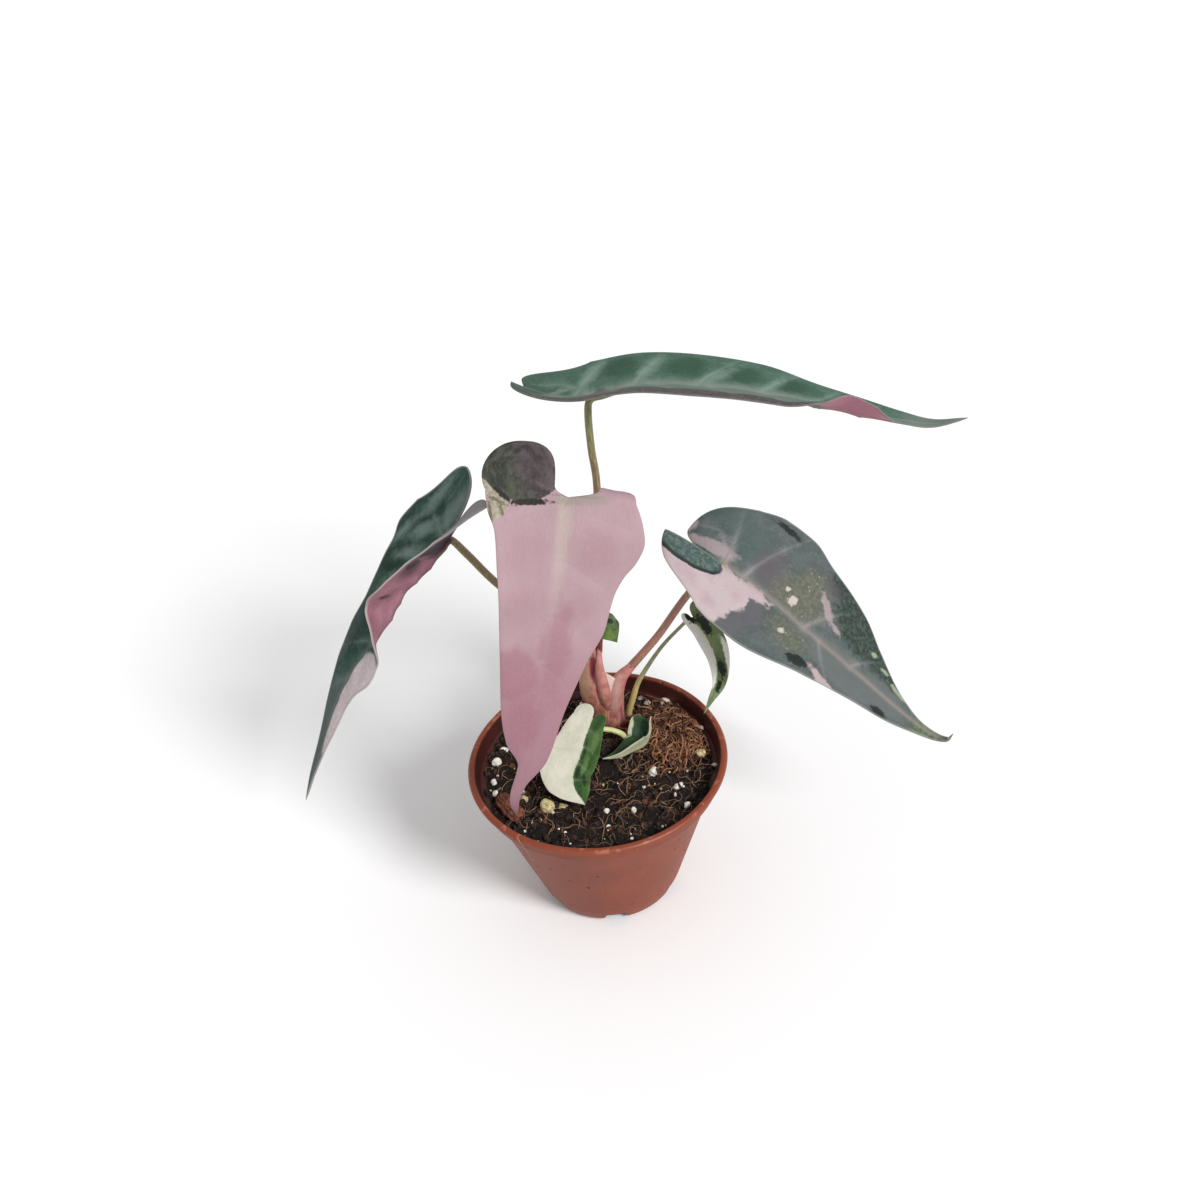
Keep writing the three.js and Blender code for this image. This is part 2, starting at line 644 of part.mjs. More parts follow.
// Fibre clump: a low core that follows the soil, and fibres that arch out of it and come down on the soil.
function makeClump() {
  const [x0, y0] = CLUMP.centre;
  const over = (x, y, above) => new THREE.Vector3(x, y, soilHeight(x, y) + CLEARANCE + above);
  const rings = CLUMP.section.map(([share, above]) => {
    const ring = [];
    for (let side = 0; side < CLUMP.sides; side++) {
      const angle = (2 * Math.PI * side) / CLUMP.sides;
      const radius = CLUMP.radius * share;
      ring.push(over(x0 + radius * Math.cos(angle), y0 + radius * Math.sin(angle), above));
    }
    return ring;
  });
  const [lowest, highest] = [CLUMP.section[0][1], CLUMP.section.at(-1)[1]];
  const parts = [skin(over(x0, y0, lowest), rings, over(x0, y0, highest))];
  const random = randomStream(CLUMP.seed);
  const between = ([least, most]) => least + (most - least) * random();
  const half = CLUMP.thickness / 2;
  for (let i = 0; i < CLUMP.fibres; i++) {
    const angle = degToRad(CLUMP.sector) * ((2 * (i + CLUMP.spread * random())) / CLUMP.fibres - 1);
    const bend = CLUMP.bend * (2 * random() - 1);
    const reach = between(CLUMP.reach);
    const arch = between(CLUMP.arch);
    // The fibre's course, as [share of its reach, height of its middle over the soil].
    const course = [[0, CLUMP.root], [0.4, arch + half], [0.75, 0.6 * arch + half], [1, CLUMP.landing + half]];
    parts.push(tube(course.map(([share, above]) => {
      const turned = angle + bend * share;
      const free = new THREE.Vector2(x0 + CLUMP.start * Math.cos(angle), y0 + CLUMP.start * Math.sin(angle));
      free.add(new THREE.Vector2(Math.cos(turned), Math.sin(turned)).multiplyScalar(reach * share));
      const { x, y } = free.clampLength(0, CLUMP.limit);
      return [x, y, soilHeight(x, y) + CLEARANCE + above, half];
    }), CLUMP.fibreSides, CLUMP.fibreStep));
  }
  return geometryOf(joined(parts));
}

// Bark chip: a thin strip with rounded ends, bowed along its length.
function makeChip() {
  const { rows, columns } = CHIP;
  const points = [];
  const triangles = [];
  const place = new THREE.Matrix4().makeRotationZ(degToRad(CHIP.heading));
  place.multiply(new THREE.Matrix4().makeRotationX(degToRad(CHIP.tilt)));
  for (let i = 0; i <= rows; i++) {
    const along = (2 * i) / rows - 1;
    const halfWidth = (CHIP.width / 2) * (CHIP.ends + (1 - CHIP.ends) * Math.sqrt(1 - along ** 4));
    for (let j = 0; j <= columns; j++) {
      const across = (2 * j) / columns - 1;
      const bowed = CHIP.bow * (1 - along ** 2) - CHIP.hollow * across ** 2;
      const point = new THREE.Vector3((CHIP.length / 2) * along, halfWidth * across, bowed);
      points.push(point.applyMatrix4(place).add(vector(CHIP.middle)));
      if (i === 0 || j === 0) continue;
      const [a, b] = [(i - 1) * (columns + 1) + j - 1, i * (columns + 1) + j - 1];
      triangles.push([a, b, b + 1], [a, b + 1, a + 1]);
    }
  }
  return thicken(points, triangles, CHIP.thickness);
}

// Where the blade's halves join at a share of the midrib, with the directions along it, up from its face
// and to the right hand. Below 0 it follows the half's back lobe, on an arc of the lobe's turn.
function bladeFrame(leaf, half, share) {
  const path = leaf.path;
  const onRib = clamp(share, 0, 1);
  const place = path.getPointAt(onRib);
  const along = path.getTangentAt(onRib);
  const faces = leaf.face.map(([at, ...direction]) => [at, vector(direction).normalize()]);
  const part = (axis) => curve(faces.map(([at, direction]) => [at, direction[axis]]), onRib);
  const up = new THREE.Vector3(part("x"), part("y"), part("z"));
  up.addScaledVector(along, -up.dot(along)).normalize();
  const right = along.clone().cross(up);
  if (share >= 0) return { place, up, right };
  const turn = degToRad(half.lobe.turn) || 1e-6;
  const angle = turn * -share;
  const radius = half.lobe.length / turn;
  place.addScaledVector(along, -radius * Math.sin(angle)).addScaledVector(up, -radius * (1 - Math.cos(angle)));
  const tilted = up.multiplyScalar(Math.cos(angle)).addScaledVector(along, -Math.sin(angle));
  return { place, up: tilted, right };
}

// How far the half blade starts and ends from the midrib's line. On the lobe its inner edge leaves the
// sinus by a narrow slot, and both edges close in an arc at the lobe's end.
function bladeWidths(half, share) {
  const { width, lobe } = half;
  if (share >= 0) return [0, width * curve(half.outline, share)];
  const back = -share;
  const root = lobe.root * width;
  const lean = back * lobe.length * Math.tan(degToRad(lobe.splay));
  const bulge = lobe.flare * Math.sin(Math.PI * back ** 0.8);
  const outer = root + (width - root) * (1 - back ** lobe.blunt) ** (1 / lobe.blunt) + bulge + lean;
  const opened = lobe.gap * (1 - clamp(1 - back / GAP_SHARE, 0, 1) ** 2);
  const slot = SLOT * clamp(back / SLOT_SHARE, 0, 1);
  const inner = opened + slot + (root - lobe.gap) * (1 - Math.sqrt(1 - back ** lobe.slit)) + lean;
  return [Math.min(inner, outer), outer];
}

// A point of the half blade: side is 1 or -1, share runs from the lobe's end at -1 to the tip at 1, and
// across runs from the inner edge at 0 to the margin at 1. The section is an arc that leaves the midrib at
// the fold and turns by the curl.
function bladePoint(leaf, side, share, across) {
  const half = side > 0 ? leaf.right : leaf.left;
  const { place, up, right } = bladeFrame(leaf, half, share);
  const [inner, outer] = bladeWidths(half, share);
  const distance = inner + (outer - inner) * across;
  const fold = degToRad(curve(half.fold, share));
  const bend = degToRad(curve(half.curl, share)) / half.width || 1e-5;
  const angle = fold + bend * distance;
  const sideways = (Math.sin(angle) - Math.sin(fold)) / bend;
  const { lift, crease } = half.lobe;
  const stood = lift ? lift * Math.max(0, -share) ** 1.3 * clamp(1 - distance / (crease * half.width), 0, 1) : 0;
  const risen = (Math.cos(fold) - Math.cos(angle)) / bend + stood;
  return place.addScaledVector(right, side * sideways).addScaledVector(up, risen);
}

function makeBlade(leaf) {
  const { lobeRows, rows, columns } = leaf.grid;
  const shares = [];
  for (let i = 0; i < lobeRows; i++) shares.push(-Math.cos((Math.PI * i) / (2 * lobeRows)));
  for (let i = 0; i <= rows; i++) shares.push(i / rows);
  const points = [];
  const known = new Map();
  const corner = (point) => {
    const key = point.toArray().map((value) => Math.round(value / WELD)).join(" ");
    if (!known.has(key)) known.set(key, points.push(point) - 1);
    return known.get(key);
  };
  const triangles = [];
  for (const side of [1, -1]) {
    const grid = shares.map((share) => {
      return Array.from({ length: columns + 1 }, (_, j) => corner(bladePoint(leaf, side, share, j / columns)));
    });
    for (let i = 1; i < grid.length; i++) {
      for (let j = 1; j <= columns; j++) {
        const [a, b, c, d] = [grid[i - 1][j - 1], grid[i][j - 1], grid[i][j], grid[i - 1][j]];
        const pair = side > 0 ? [[a, b, c], [a, c, d]] : [[a, c, b], [a, d, c]];
        triangles.push(...pair.filter((triangle) => new Set(triangle).size === 3));
      }
    }
  }
  return thicken(points, triangles, BLADE_THICKNESS);
}

add("pot", makePot(), 0x9a5a44, 0.55);
add("soil", makeSoil(), 0x2c241f, 0.95);
add("crown", makeCrown(), 0x9c6257, 0.5);
add("fibre_clump", makeClump(), 0x8a6a48, 0.9);
add("bark_chip", makeChip(), 0x7a4a2c, 0.85);
for (const leaf of LEAVES) {
  leaf.path = new THREE.CatmullRomCurve3(leaf.midrib.map(vector), false, "catmullrom", 0.5);
  const [bladeColour, petioleColour] = leaf.colours;
  add("blade_" + leaf.name, makeBlade(leaf), bladeColour, BLADE_ROUGHNESS);
  add("petiole_" + leaf.name, tube(leaf.petiole, PETIOLE_SIDES, PETIOLE_STEP), petioleColour, PETIOLE_ROUGHNESS);
}

export default plant;
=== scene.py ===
"""Potted pink variegated bambino arrow alocasia: its visual model, floor, lights and camera.

The pieces come in the order in which the plant is put together. Their formulas are in millimetres, in the
frame of the CAD model: +Z up, the middle of the pot's foot at the origin, the pink leaf towards -Y.
"""

import bpy
import numpy as np
from mathutils import Matrix


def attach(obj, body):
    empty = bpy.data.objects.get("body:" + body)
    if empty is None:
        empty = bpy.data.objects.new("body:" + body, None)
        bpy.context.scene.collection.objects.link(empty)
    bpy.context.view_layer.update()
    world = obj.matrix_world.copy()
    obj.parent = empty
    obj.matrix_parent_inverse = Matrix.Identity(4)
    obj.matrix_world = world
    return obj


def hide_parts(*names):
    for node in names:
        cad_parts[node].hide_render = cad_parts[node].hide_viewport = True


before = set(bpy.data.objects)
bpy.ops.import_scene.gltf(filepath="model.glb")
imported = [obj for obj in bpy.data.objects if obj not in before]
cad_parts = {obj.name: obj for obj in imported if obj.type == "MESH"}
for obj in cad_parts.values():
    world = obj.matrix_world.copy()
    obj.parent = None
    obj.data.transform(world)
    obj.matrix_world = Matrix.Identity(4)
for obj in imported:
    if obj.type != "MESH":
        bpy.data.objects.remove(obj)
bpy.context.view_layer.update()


# Pot
# A thin nursery pot of terracotta-coloured plastic, moulded in one piece with a rolled lip, a collar and
# six drainage slots round its bottom corner. It is satin, a little scuffed, and flecked with potting mix.

def colour(red, green, blue):
    """The shader colour of a screen colour given from 0 to 255."""
    share = np.array([red, green, blue]) / 255
    light = np.where(share <= 0.04045, share / 12.92, ((share + 0.055) / 1.055) ** 2.4)
    return (*light.tolist(), 1.0)


class Wire:
    """An output socket. Its operators add Math nodes, and smooth_step adds a Map Range node."""

    def __init__(self, finish, socket):
        self.finish = finish
        self.socket = socket

    def maths(self, operation, *values):
        return self.finish.node("ShaderNodeMath", {"operation": operation}, dict(enumerate((self, *values))))

    def __add__(self, other):
        return self.maths("ADD", other)

    def __sub__(self, other):
        return self.maths("SUBTRACT", other)

    def __mul__(self, other):
        return self.maths("MULTIPLY", other)

    def __rsub__(self, other):
        return self.finish.node("ShaderNodeMath", {"operation": "SUBTRACT"}, {0: other, 1: self})

    __radd__ = __add__
    __rmul__ = __mul__

    def smooth_step(self, low, high, start=0.0, end=1.0):
        """start below low, end above high, and a smooth change between them."""
        settings = {"interpolation_type": "SMOOTHSTEP"}
        return self.finish.node("ShaderNodeMapRange", settings, {0: self, 1: low, 2: high, 3: start, 4: end})


class Finish:
    """A material under construction. Its node method adds any node, and the others are common cases of it."""

    def __init__(self, name):
        self.material = bpy.data.materials.new(name)
        self.material.use_nodes = True
        self.tree = self.material.node_tree
        self.shader = self.tree.nodes["Principled BSDF"]

    def node(self, kind, settings, sockets, output=0):
        """A node of that kind: its settings are set first, then its sockets get their values or links."""
        made = self.tree.nodes.new(kind)
        for setting, value in settings.items():
            setattr(made, setting, value)
        for socket, value in sockets.items():
            if isinstance(value, Wire):
                self.tree.links.new(value.socket, made.inputs[socket])
            else:
                made.inputs[socket].default_value = value
        return Wire(self, made.outputs[output])

    def place(self):
        """The place on the piece in millimetres."""
        metres = self.node("ShaderNodeTexCoord", {}, {}, "Object")
        return self.node("ShaderNodeVectorMath", {"operation": "SCALE"}, {0: metres, "Scale": 1000.0})

    def field(self, name):
        """A number that the mesh carries at its points."""
        return self.node("ShaderNodeAttribute", {"attribute_name": name}, {}, "Fac")

    def vector_field(self, name):
        """A vector that the mesh carries at its points."""
        return self.node("ShaderNodeAttribute", {"attribute_name": name}, {}, "Vector")

    def stretched(self, vector, x, y, z):
        """A vector scaled along each axis."""
        return self.node("ShaderNodeVectorMath", {"operation": "MULTIPLY"}, {0: vector, 1: (x, y, z)})

    def noise(self, vector, size, detail=3.0, roughness=0.55):
        """Cloudy noise from 0 to 1 whose blotches are about size millimetres wide."""
        sockets = {"Vector": vector, "Scale": 1 / size, "Detail": detail, "Roughness": roughness}
        return self.node("ShaderNodeTexNoise", {}, sockets)

    def cells(self, vector, size, feature="F1"):
        """Distance from the nearest scattered point or cell border, in cells of that size."""
        return self.node(
            "ShaderNodeTexVoronoi", {"feature": feature}, {"Vector": vector, "Scale": 1 / size}, "Distance",
        )

    def mix(self, mask, first, second):
        """The first colour where the mask is 0 and the second where it is 1."""
        return self.node("ShaderNodeMix", {"data_type": "RGBA"}, {0: mask, 6: first, 7: second}, 2)

    def finished(self, base, roughness, height=None, depth=0.2, **constants):
        """Links colour, roughness and a bump that deep in millimetres, and sets the shader's constants."""
        links = {"Base Color": base, "Roughness": roughness}
        if height is not None:
            sockets = {"Height": height, "Distance": depth / 1000, "Strength": 1.0}
            links["Normal"] = self.node("ShaderNodeBump", {}, sockets)
        for socket, value in links.items():
            if isinstance(value, Wire):
                self.tree.links.new(value.socket, self.shader.inputs[socket])
            else:
                self.shader.inputs[socket].default_value = value
        for socket, value in constants.items():
            self.shader.inputs[socket.replace("_", " ").title().replace("Ior", "IOR")].default_value = value
        return self.material


def outwards(points, triangles):
    """The triangles of a closed skin, turned round where its signed volume says that they face inwards."""
    a, b, c = (points[triangles[:, corner]] for corner in range(3))
    volume = np.einsum("ij,ij->", a, np.cross(b, c))
    return triangles if volume > 0 else triangles[:, ::-1]


def piece(name, points, triangles, material, fields, node):
    """An object at the origin from points in millimetres, with fields, which rides and replaces its node."""
    mesh = bpy.data.meshes.new(name)
    mesh.vertices.add(len(points))
    mesh.vertices.foreach_set("co", (points / 1000).astype(np.float32).ravel())
    mesh.loops.add(triangles.size)
    mesh.loops.foreach_set("vertex_index", triangles.astype(np.int32).ravel())
    mesh.polygons.add(len(triangles))
    mesh.polygons.foreach_set("loop_start", np.arange(0, triangles.size, 3, dtype=np.int32))
    mesh.polygons.foreach_set("use_smooth", np.ones(len(triangles), dtype=bool))
    mesh.update(calc_edges=True)
    mesh.validate()
    for field, values in fields.items():
        kind, key = ("FLOAT_VECTOR", "vector") if values.ndim == 2 else ("FLOAT", "value")
        mesh.attributes.new(field, kind, "POINT").data.foreach_set(key, values.astype(np.float32).ravel())
    mesh.materials.append(material)
    made = bpy.data.objects.new(name, mesh)
    bpy.context.scene.collection.objects.link(made)
    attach(made, "root")
    if node:
        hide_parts(node)
    return made


def sheet_triangles(rows, columns, around=False):
    """Two triangles for each cell of a grid, joined round from the last column to the first or not."""
    index = np.arange(rows * columns).reshape(rows, columns)
    if around:
        index = np.hstack([index, index[:, :1]])
    a, b, c, d = (part.ravel() for part in (index[:-1, :-1], index[1:, :-1], index[1:, 1:], index[:-1, 1:]))
    return np.vstack([np.column_stack([a, b, c]), np.column_stack([a, c, d])])


def rounded(corners, radius, steps=5):
    """A closed profile whose corners are quadratic arcs that start at most radius before each corner."""
    corners = np.array(corners, float)
    before = np.roll(corners, 1, axis=0) - corners
    after = np.roll(corners, -1, axis=0) - corners
    reach = [np.minimum(radius, 0.45 * np.linalg.norm(side, axis=1)) for side in (before, after)]
    start = corners + before / np.linalg.norm(before, axis=1)[:, None] * reach[0][:, None]
    end = corners + after / np.linalg.norm(after, axis=1)[:, None] * reach[1][:, None]
    t = np.linspace(0, 1, steps)[None, :, None]
    arcs = (1 - t) ** 2 * start[:, None] + 2 * t * (1 - t) * corners[:, None] + t ** 2 * end[:, None]
    return arcs.reshape(-1, 2)


POT_FLOOR = 1.2
# Radius and height of the wall's section, from the foot up the outside, over the lip and down the inside.
POT_PROFILE = [
    (0.02, 0), (16.5, 0), (18.7, 1.2), (20.2, 4.8), (24, 16.7), (28, 29.2), (31.3, 39.4), (33, 40),
    (33.6, 43.7), (34.8, 44.1), (35, 44.8), (34.4, 45.5), (33.3, 45.5), (33, 44.8), (32.1, 40.9),
    (30.4, 40.3), (19.3, 4.8), (17.9, 2.1), (15.9, 1.2), (0.02, 1.2),
]
POT_SIDES = 180
SLOT_COUNT = 6
SLOT_RISE = 1.5
SLOT_HALF_WIDTH = 2.9
SLOT_DEPTH = 1.1


def pot_points():
    """The rounded profile turned about the axis. The lip wavers, and the slots are pushed inwards."""
    profile = rounded(POT_PROFILE, 0.5)
    angle = np.linspace(0, 2 * np.pi, POT_SIDES, endpoint=False)
    radius = np.repeat(profile[:, 0][:, None], POT_SIDES, axis=1)
    height = np.repeat(profile[:, 1][:, None], POT_SIDES, axis=1)
    high = np.clip((height - 38) / 8, 0, 1)
    radius = radius * (1 - 0.003 * high * (1 + np.sin(3 * angle + 0.6) * np.cos(2 * angle)))
    height = height - 0.12 * high * (1 + np.sin(5 * angle + 1.1))
    turn = 2 * np.pi / SLOT_COUNT
    off_slot = (np.mod(angle, turn) - turn / 2) * radius
    outside = np.linspace(0, 1, len(profile))[:, None] < 0.5
    near = (off_slot / SLOT_HALF_WIDTH) ** 4 + ((height - 0.6) / SLOT_RISE) ** 4
    slot = np.where(outside & (radius > 14), np.clip(1.4 - near, 0, 0.6) / 0.6, 0) * SLOT_DEPTH
    radius = radius - 0.75 * slot
    height = height + 0.3 * slot
    points = np.stack([radius * np.cos(angle), radius * np.sin(angle), height], axis=-1)
    return points.reshape(-1, 3), len(profile), slot.ravel() / SLOT_DEPTH


def pot_finish():
    """Terracotta with faint clouds, a shinier lip and flecks of potting mix. Painted light pales its streaks,
    foot and lip, and painted shade turns the slots near black and the inner wall dark red.
    """
    finish = Finish("terracotta plastic")
    place = finish.place()
    height = finish.node("ShaderNodeSeparateXYZ", {}, {0: place}, "Z")
    clouds = finish.noise(place, 12.0, 3.0)
    grain = finish.noise(place, 0.5, 2.0)
    base = finish.mix(clouds.smooth_step(0.3, 0.7), colour(116, 51, 30), colour(128, 59, 36))
    base = finish.mix(finish.noise(place, 2.6, 4.0).smooth_step(0.52, 0.75) * 0.25, base, colour(140, 72, 48))
    # Pale vertical streaks: painted highlight of the satin wall's gloss.
    highlight_streaks = finish.noise(finish.stretched(place, 1, 1, 0.12), 1.3, 3.0)
    base = finish.mix(highlight_streaks.smooth_step(0.58, 0.78) * 0.2, base, colour(148, 82, 58))
    # Paler towards the foot: painted light reflected from the white floor.
    foot = height.smooth_step(9, 1)
    base = finish.mix(foot * 0.3, base, colour(142, 76, 54))
    # Lighter on the lip, with pale patches: painted highlight where the rolled lip catches the light.
    lip = height.smooth_step(44.2, 45.2)
    base = finish.mix(lip * 0.5, base, colour(138, 66, 42))
    lip_highlight = lip * finish.noise(place, 2.4, 3.0).smooth_step(0.55, 0.66)
    base = finish.mix(lip_highlight * 0.4, base, colour(186, 126, 104))
    specks = finish.cells(place, 3.6).smooth_step(0.15, 0.1)
    gathered = finish.noise(place, 7.0, 1.0).smooth_step(0.5, 0.56)
    base = finish.mix(specks * gathered * 0.9, base, colour(44, 24, 20))
    crumbs = finish.cells(finish.stretched(place, 1, 1, 1.3), 1.4).smooth_step(0.12, 0.07)
    base = finish.mix(
        crumbs * finish.noise(place, 5.0, 1.0).smooth_step(0.58, 0.64) * 0.6, base, colour(80, 44, 34),
    )
    # Near black in the slots: painted shade standing in for the dark openings.
    base = finish.mix(finish.field("slot"), base, colour(22, 13, 11))
    # Dark red on the inner wall above the soil: painted shade inside the pot. The smears below are potting
    # mix.
    inside = finish.field("inside") * height.smooth_step(45.4, 44.6)
    base = finish.mix(inside * 0.95, base, colour(62, 22, 18))
    smears = finish.noise(place, 3.2, 4.0).smooth_step(0.5, 0.64) * inside
    base = finish.mix(smears * 0.6, base, colour(42, 26, 20))
    gloss = 0.46 - lip * 0.12 + clouds * 0.12 + specks * gathered * 0.3
    return finish.finished(base, gloss, grain * 0.4 + clouds, 0.05, specular_ior_level=0.35)


points, rows, slots = pot_points()
ring = np.arange(rows)
is_inside = np.repeat(((ring > 0.62 * rows) & (ring < rows)).astype(float), POT_SIDES)
faces = sheet_triangles(rows, POT_SIDES, around=True)
caps = []
for row, height in ((0, 0.0), (rows - 1, POT_FLOOR)):
    points = np.vstack([points, [0, 0, height]])
    start = row * POT_SIDES + np.arange(POT_SIDES)
    following = row * POT_SIDES + (np.arange(POT_SIDES) + 1) % POT_SIDES
    centre = np.full(POT_SIDES, len(points) - 1)
    caps.append(np.column_stack([start, following, centre] if row == 0 else [following, start, centre]))
faces = outwards(points, np.vstack([faces, *caps]))
extra = np.zeros(2)
pot_fields = {"slot": np.append(slots, extra), "inside": np.append(is_inside, extra)}
piece("pot_wall", points, faces, pot_finish(), pot_fields, "pot")


# Soil
# Moist, nearly black potting mix of peat crumbs, pressed into the pot to 5 mm under the lip. White and
# yellowish mineral grains, chips and many fine roots lie open on it.

SOIL_LEVEL = 40.6
SOIL_RADIUS = 31.9
SOIL_WAVES = [(0.3, 0.07, 0.045, 0.4), (0.22, -0.05, 0.11, 1.9), (0.14, 0.17, -0.12, 0.7)]
SOIL_SEED = 12
CLOD_COUNT = 900
# Place x, y and diameter of each larger grain, and whether it is yellowish.
GRAINS = [
    (-25.5, 11, 2.2, 0), (-27.5, 6.5, 2.6, 0), (-28.5, -0.5, 1.8, 0), (-28, -5, 2, 0), (-20.5, -8.5, 2.4, 1),
    (-14.5, -12.5, 4.4, 1), (14.5, -3.5, 2.8, 0), (27.5, 0.5, 3, 1), (8, -17, 2, 0), (20, -10.5, 1.8, 0),
    (15.5, 24, 2.2, 0), (-12, 20, 2.4, 0), (-19, 17, 2, 0), (1, -21.5, 1.8, 0), (-3, 25.5, 2.2, 0),
    (22, -17.5, 2, 0), (20.5, 23.5, 3.2, 0), (-22.5, -7, 2.0, 1), (-10.5, -12, 2.4, 1), (31, -3.7, 1.8, 0),
    (1, -17, 1.6, 0), (21.3, -10, 1.4, 0), (13.7, 26, 1.8, 0), (29, 10.5, 2.0, 0),
]


def ripples(x, y, seed, longest, count=14):
    """Uneven ground from -1 to 1: the mean of sine waves with drawn directions, phases and lengths."""
    drawn = np.random.default_rng(seed)
    length = longest * drawn.uniform(0.35, 1, count)
    heading = drawn.uniform(0, np.pi, count)
    phase = drawn.uniform(0, 2 * np.pi, count)
    total = np.zeros(np.shape(x))
    for wave in range(count):
        run = x * np.cos(heading[wave]) + y * np.sin(heading[wave])
        total = total + np.sin(2 * np.pi * run / length[wave] + phase[wave])
    return total * 1.6 / count


CLODS = np.random.default_rng(SOIL_SEED)
CLOD_RADIUS = CLODS.uniform(0.5, 1.0, CLOD_COUNT) ** 2.2 * 2.3
CLOD_REACH = SOIL_RADIUS * np.sqrt(CLODS.uniform(0, 1, CLOD_COUNT))
CLOD_TURN = CLODS.uniform(0, 2 * np.pi, CLOD_COUNT)
CLOD_X = CLOD_REACH * np.cos(CLOD_TURN)
CLOD_Y = CLOD_REACH * np.sin(CLOD_TURN)
CLOD_RISE = CLODS.uniform(0.1, 0.75, CLOD_COUNT)


def soil_height(x, y):
    """The level with three long waves, ripples, and the highest of the clods, which are flattened balls."""
    level = SOIL_LEVEL + sum(rise * np.sin(2 * np.pi * (u * x + v * y) + p) for rise, u, v, p in SOIL_WAVES)
    bent_x = x + 0.5 * ripples(x, y, 5, 3.0)
    bent_y = y + 0.5 * ripples(x, y, 6, 3.0)
    top = np.zeros(np.shape(x))
    for clod in range(CLOD_COUNT):
        squared = (bent_x - CLOD_X[clod]) ** 2 + (bent_y - CLOD_Y[clod]) ** 2
        dome = np.sqrt(np.clip(CLOD_RADIUS[clod] ** 2 - squared, 0, None)) * CLOD_RISE[clod]
        top = np.maximum(top, dome)
    return level - 0.75 + np.minimum(top, 1.5) + 0.25 * ripples(x, y, 7, 1.6) + 0.12 * ripples(x, y, 8, 0.7)


def soil_finish():
    """Nearly black crumbs with brown fibres and pale dust, with painted shade darker in the hollows."""
    finish = Finish("potting mix")
    place = finish.place()
    crumbs = finish.noise(place, 0.9, 5.0, 0.65)
    # The crumb noise also drives the bump, so its dark end is painted shade in the hollows.
    base = finish.mix(crumbs.smooth_step(0.4, 0.66), colour(12, 10, 10), colour(40, 30, 26))
    strands = finish.noise(finish.stretched(place, 1, 0.22, 1), 0.35, 2.0)
    base = finish.mix(strands.smooth_step(0.64, 0.72) * 0.6, base, colour(88, 60, 44))
    across = finish.noise(finish.stretched(place, 0.2, 1, 1), 0.3, 2.0)
    base = finish.mix(across.smooth_step(0.66, 0.74) * 0.5, base, colour(78, 52, 40))
    dust = finish.cells(place, 1.7).smooth_step(0.14, 0.08)
    base = finish.mix(
        dust * finish.noise(place, 3.5, 1.0).smooth_step(0.5, 0.6) * 0.8, base, colour(150, 138, 122),
    )
    base = finish.mix(finish.noise(place, 9.0, 2.0).smooth_step(0.5, 0.68) * 0.35, base, colour(62, 38, 28))
    height = crumbs * 0.8 + finish.noise(place, 0.3, 3.0)
    return finish.finished(base, 0.86, height, 0.5, specular_ior_level=0.3)


SOIL_RINGS = 120
SOIL_SIDES = 420
radius = SOIL_RADIUS * np.linspace(0.004, 1, SOIL_RINGS) ** 0.85
angle = np.linspace(0, 2 * np.pi, SOIL_SIDES, endpoint=False)
x = radius[:, None] * np.cos(angle)
y = radius[:, None] * np.sin(angle)
edge_share = np.clip((SOIL_RADIUS - radius) / 0.8, 0, 1)[:, None]
z = soil_height(x, y) * edge_share + (SOIL_LEVEL - 0.2) * (1 - edge_share)
top = np.stack([x, y, z], axis=-1)
skirt = [(30.1, 40.0), (29.6, 38.6), (19.0, 5.0), (15.5, 1.5), (0.1, 1.5)]
rims = [np.stack([r * np.cos(angle), r * np.sin(angle), np.full(SOIL_SIDES, h)], axis=-1) for r, h in skirt]
points = np.vstack([top.reshape(-1, 3), *rims])
rows = SOIL_RINGS + len(skirt)
faces = sheet_triangles(rows, SOIL_SIDES, around=True)
for row in (0, rows - 1):
    points = np.vstack([points, points[row * SOIL_SIDES:(row + 1) * SOIL_SIDES].mean(axis=0)])
    start = row * SOIL_SIDES + np.arange(SOIL_SIDES)
    following = row * SOIL_SIDES + (np.arange(SOIL_SIDES) + 1) % SOIL_SIDES
    centre = np.full(SOIL_SIDES, len(points) - 1)
    faces = np.vstack(
        [faces, np.column_stack([start, following, centre] if row == 0 else [following, start, centre])]
    )
piece("potting_mix", points, outwards(points, faces), soil_finish(), {}, "soil")


# Grains and crumbs
# Expanded white mineral grains, a few of them yellowish, and loose dark crumbs of peat and bark. They are
# poured in with the mix and lie half sunk in it.

def ball(splits):
    """Points and triangles of a unit ball: an icosahedron with split faces, pushed out to the ball."""
    g = (1 + 5 ** 0.5) / 2
    points = np.array([
        (-1, g, 0), (1, g, 0), (-1, -g, 0), (1, -g, 0), (0, -1, g), (0, 1, g),
        (0, -1, -g), (0, 1, -g), (g, 0, -1), (g, 0, 1), (-g, 0, -1), (-g, 0, 1),
    ], float)
    faces = np.array([
        (0, 11, 5), (0, 5, 1), (0, 1, 7), (0, 7, 10), (0, 10, 11), (1, 5, 9), (5, 11, 4), (11, 10, 2),
        (10, 7, 6), (7, 1, 8), (3, 9, 4), (3, 4, 2), (3, 2, 6), (3, 6, 8), (3, 8, 9), (4, 9, 5),
        (2, 4, 11), (6, 2, 10), (8, 6, 7), (9, 8, 1),
    ])
    for _ in range(splits):
        a, b, c = (points[faces[:, corner]] for corner in range(3))
        corners = np.stack([a, b, c, (a + b) / 2, (b + c) / 2, (c + a) / 2], axis=1)
        flat = np.round(corners.reshape(-1, 3), 6)
        points, kept = np.unique(flat, axis=0, return_inverse=True)
        kept = kept.reshape(-1, 6)
        split = [(0, 3, 5), (3, 1, 4), (5, 4, 2), (3, 4, 5)]
        faces = np.vstack([kept[:, list(triangle)] for triangle in split])
    return points / np.linalg.norm(points, axis=1)[:, None], faces


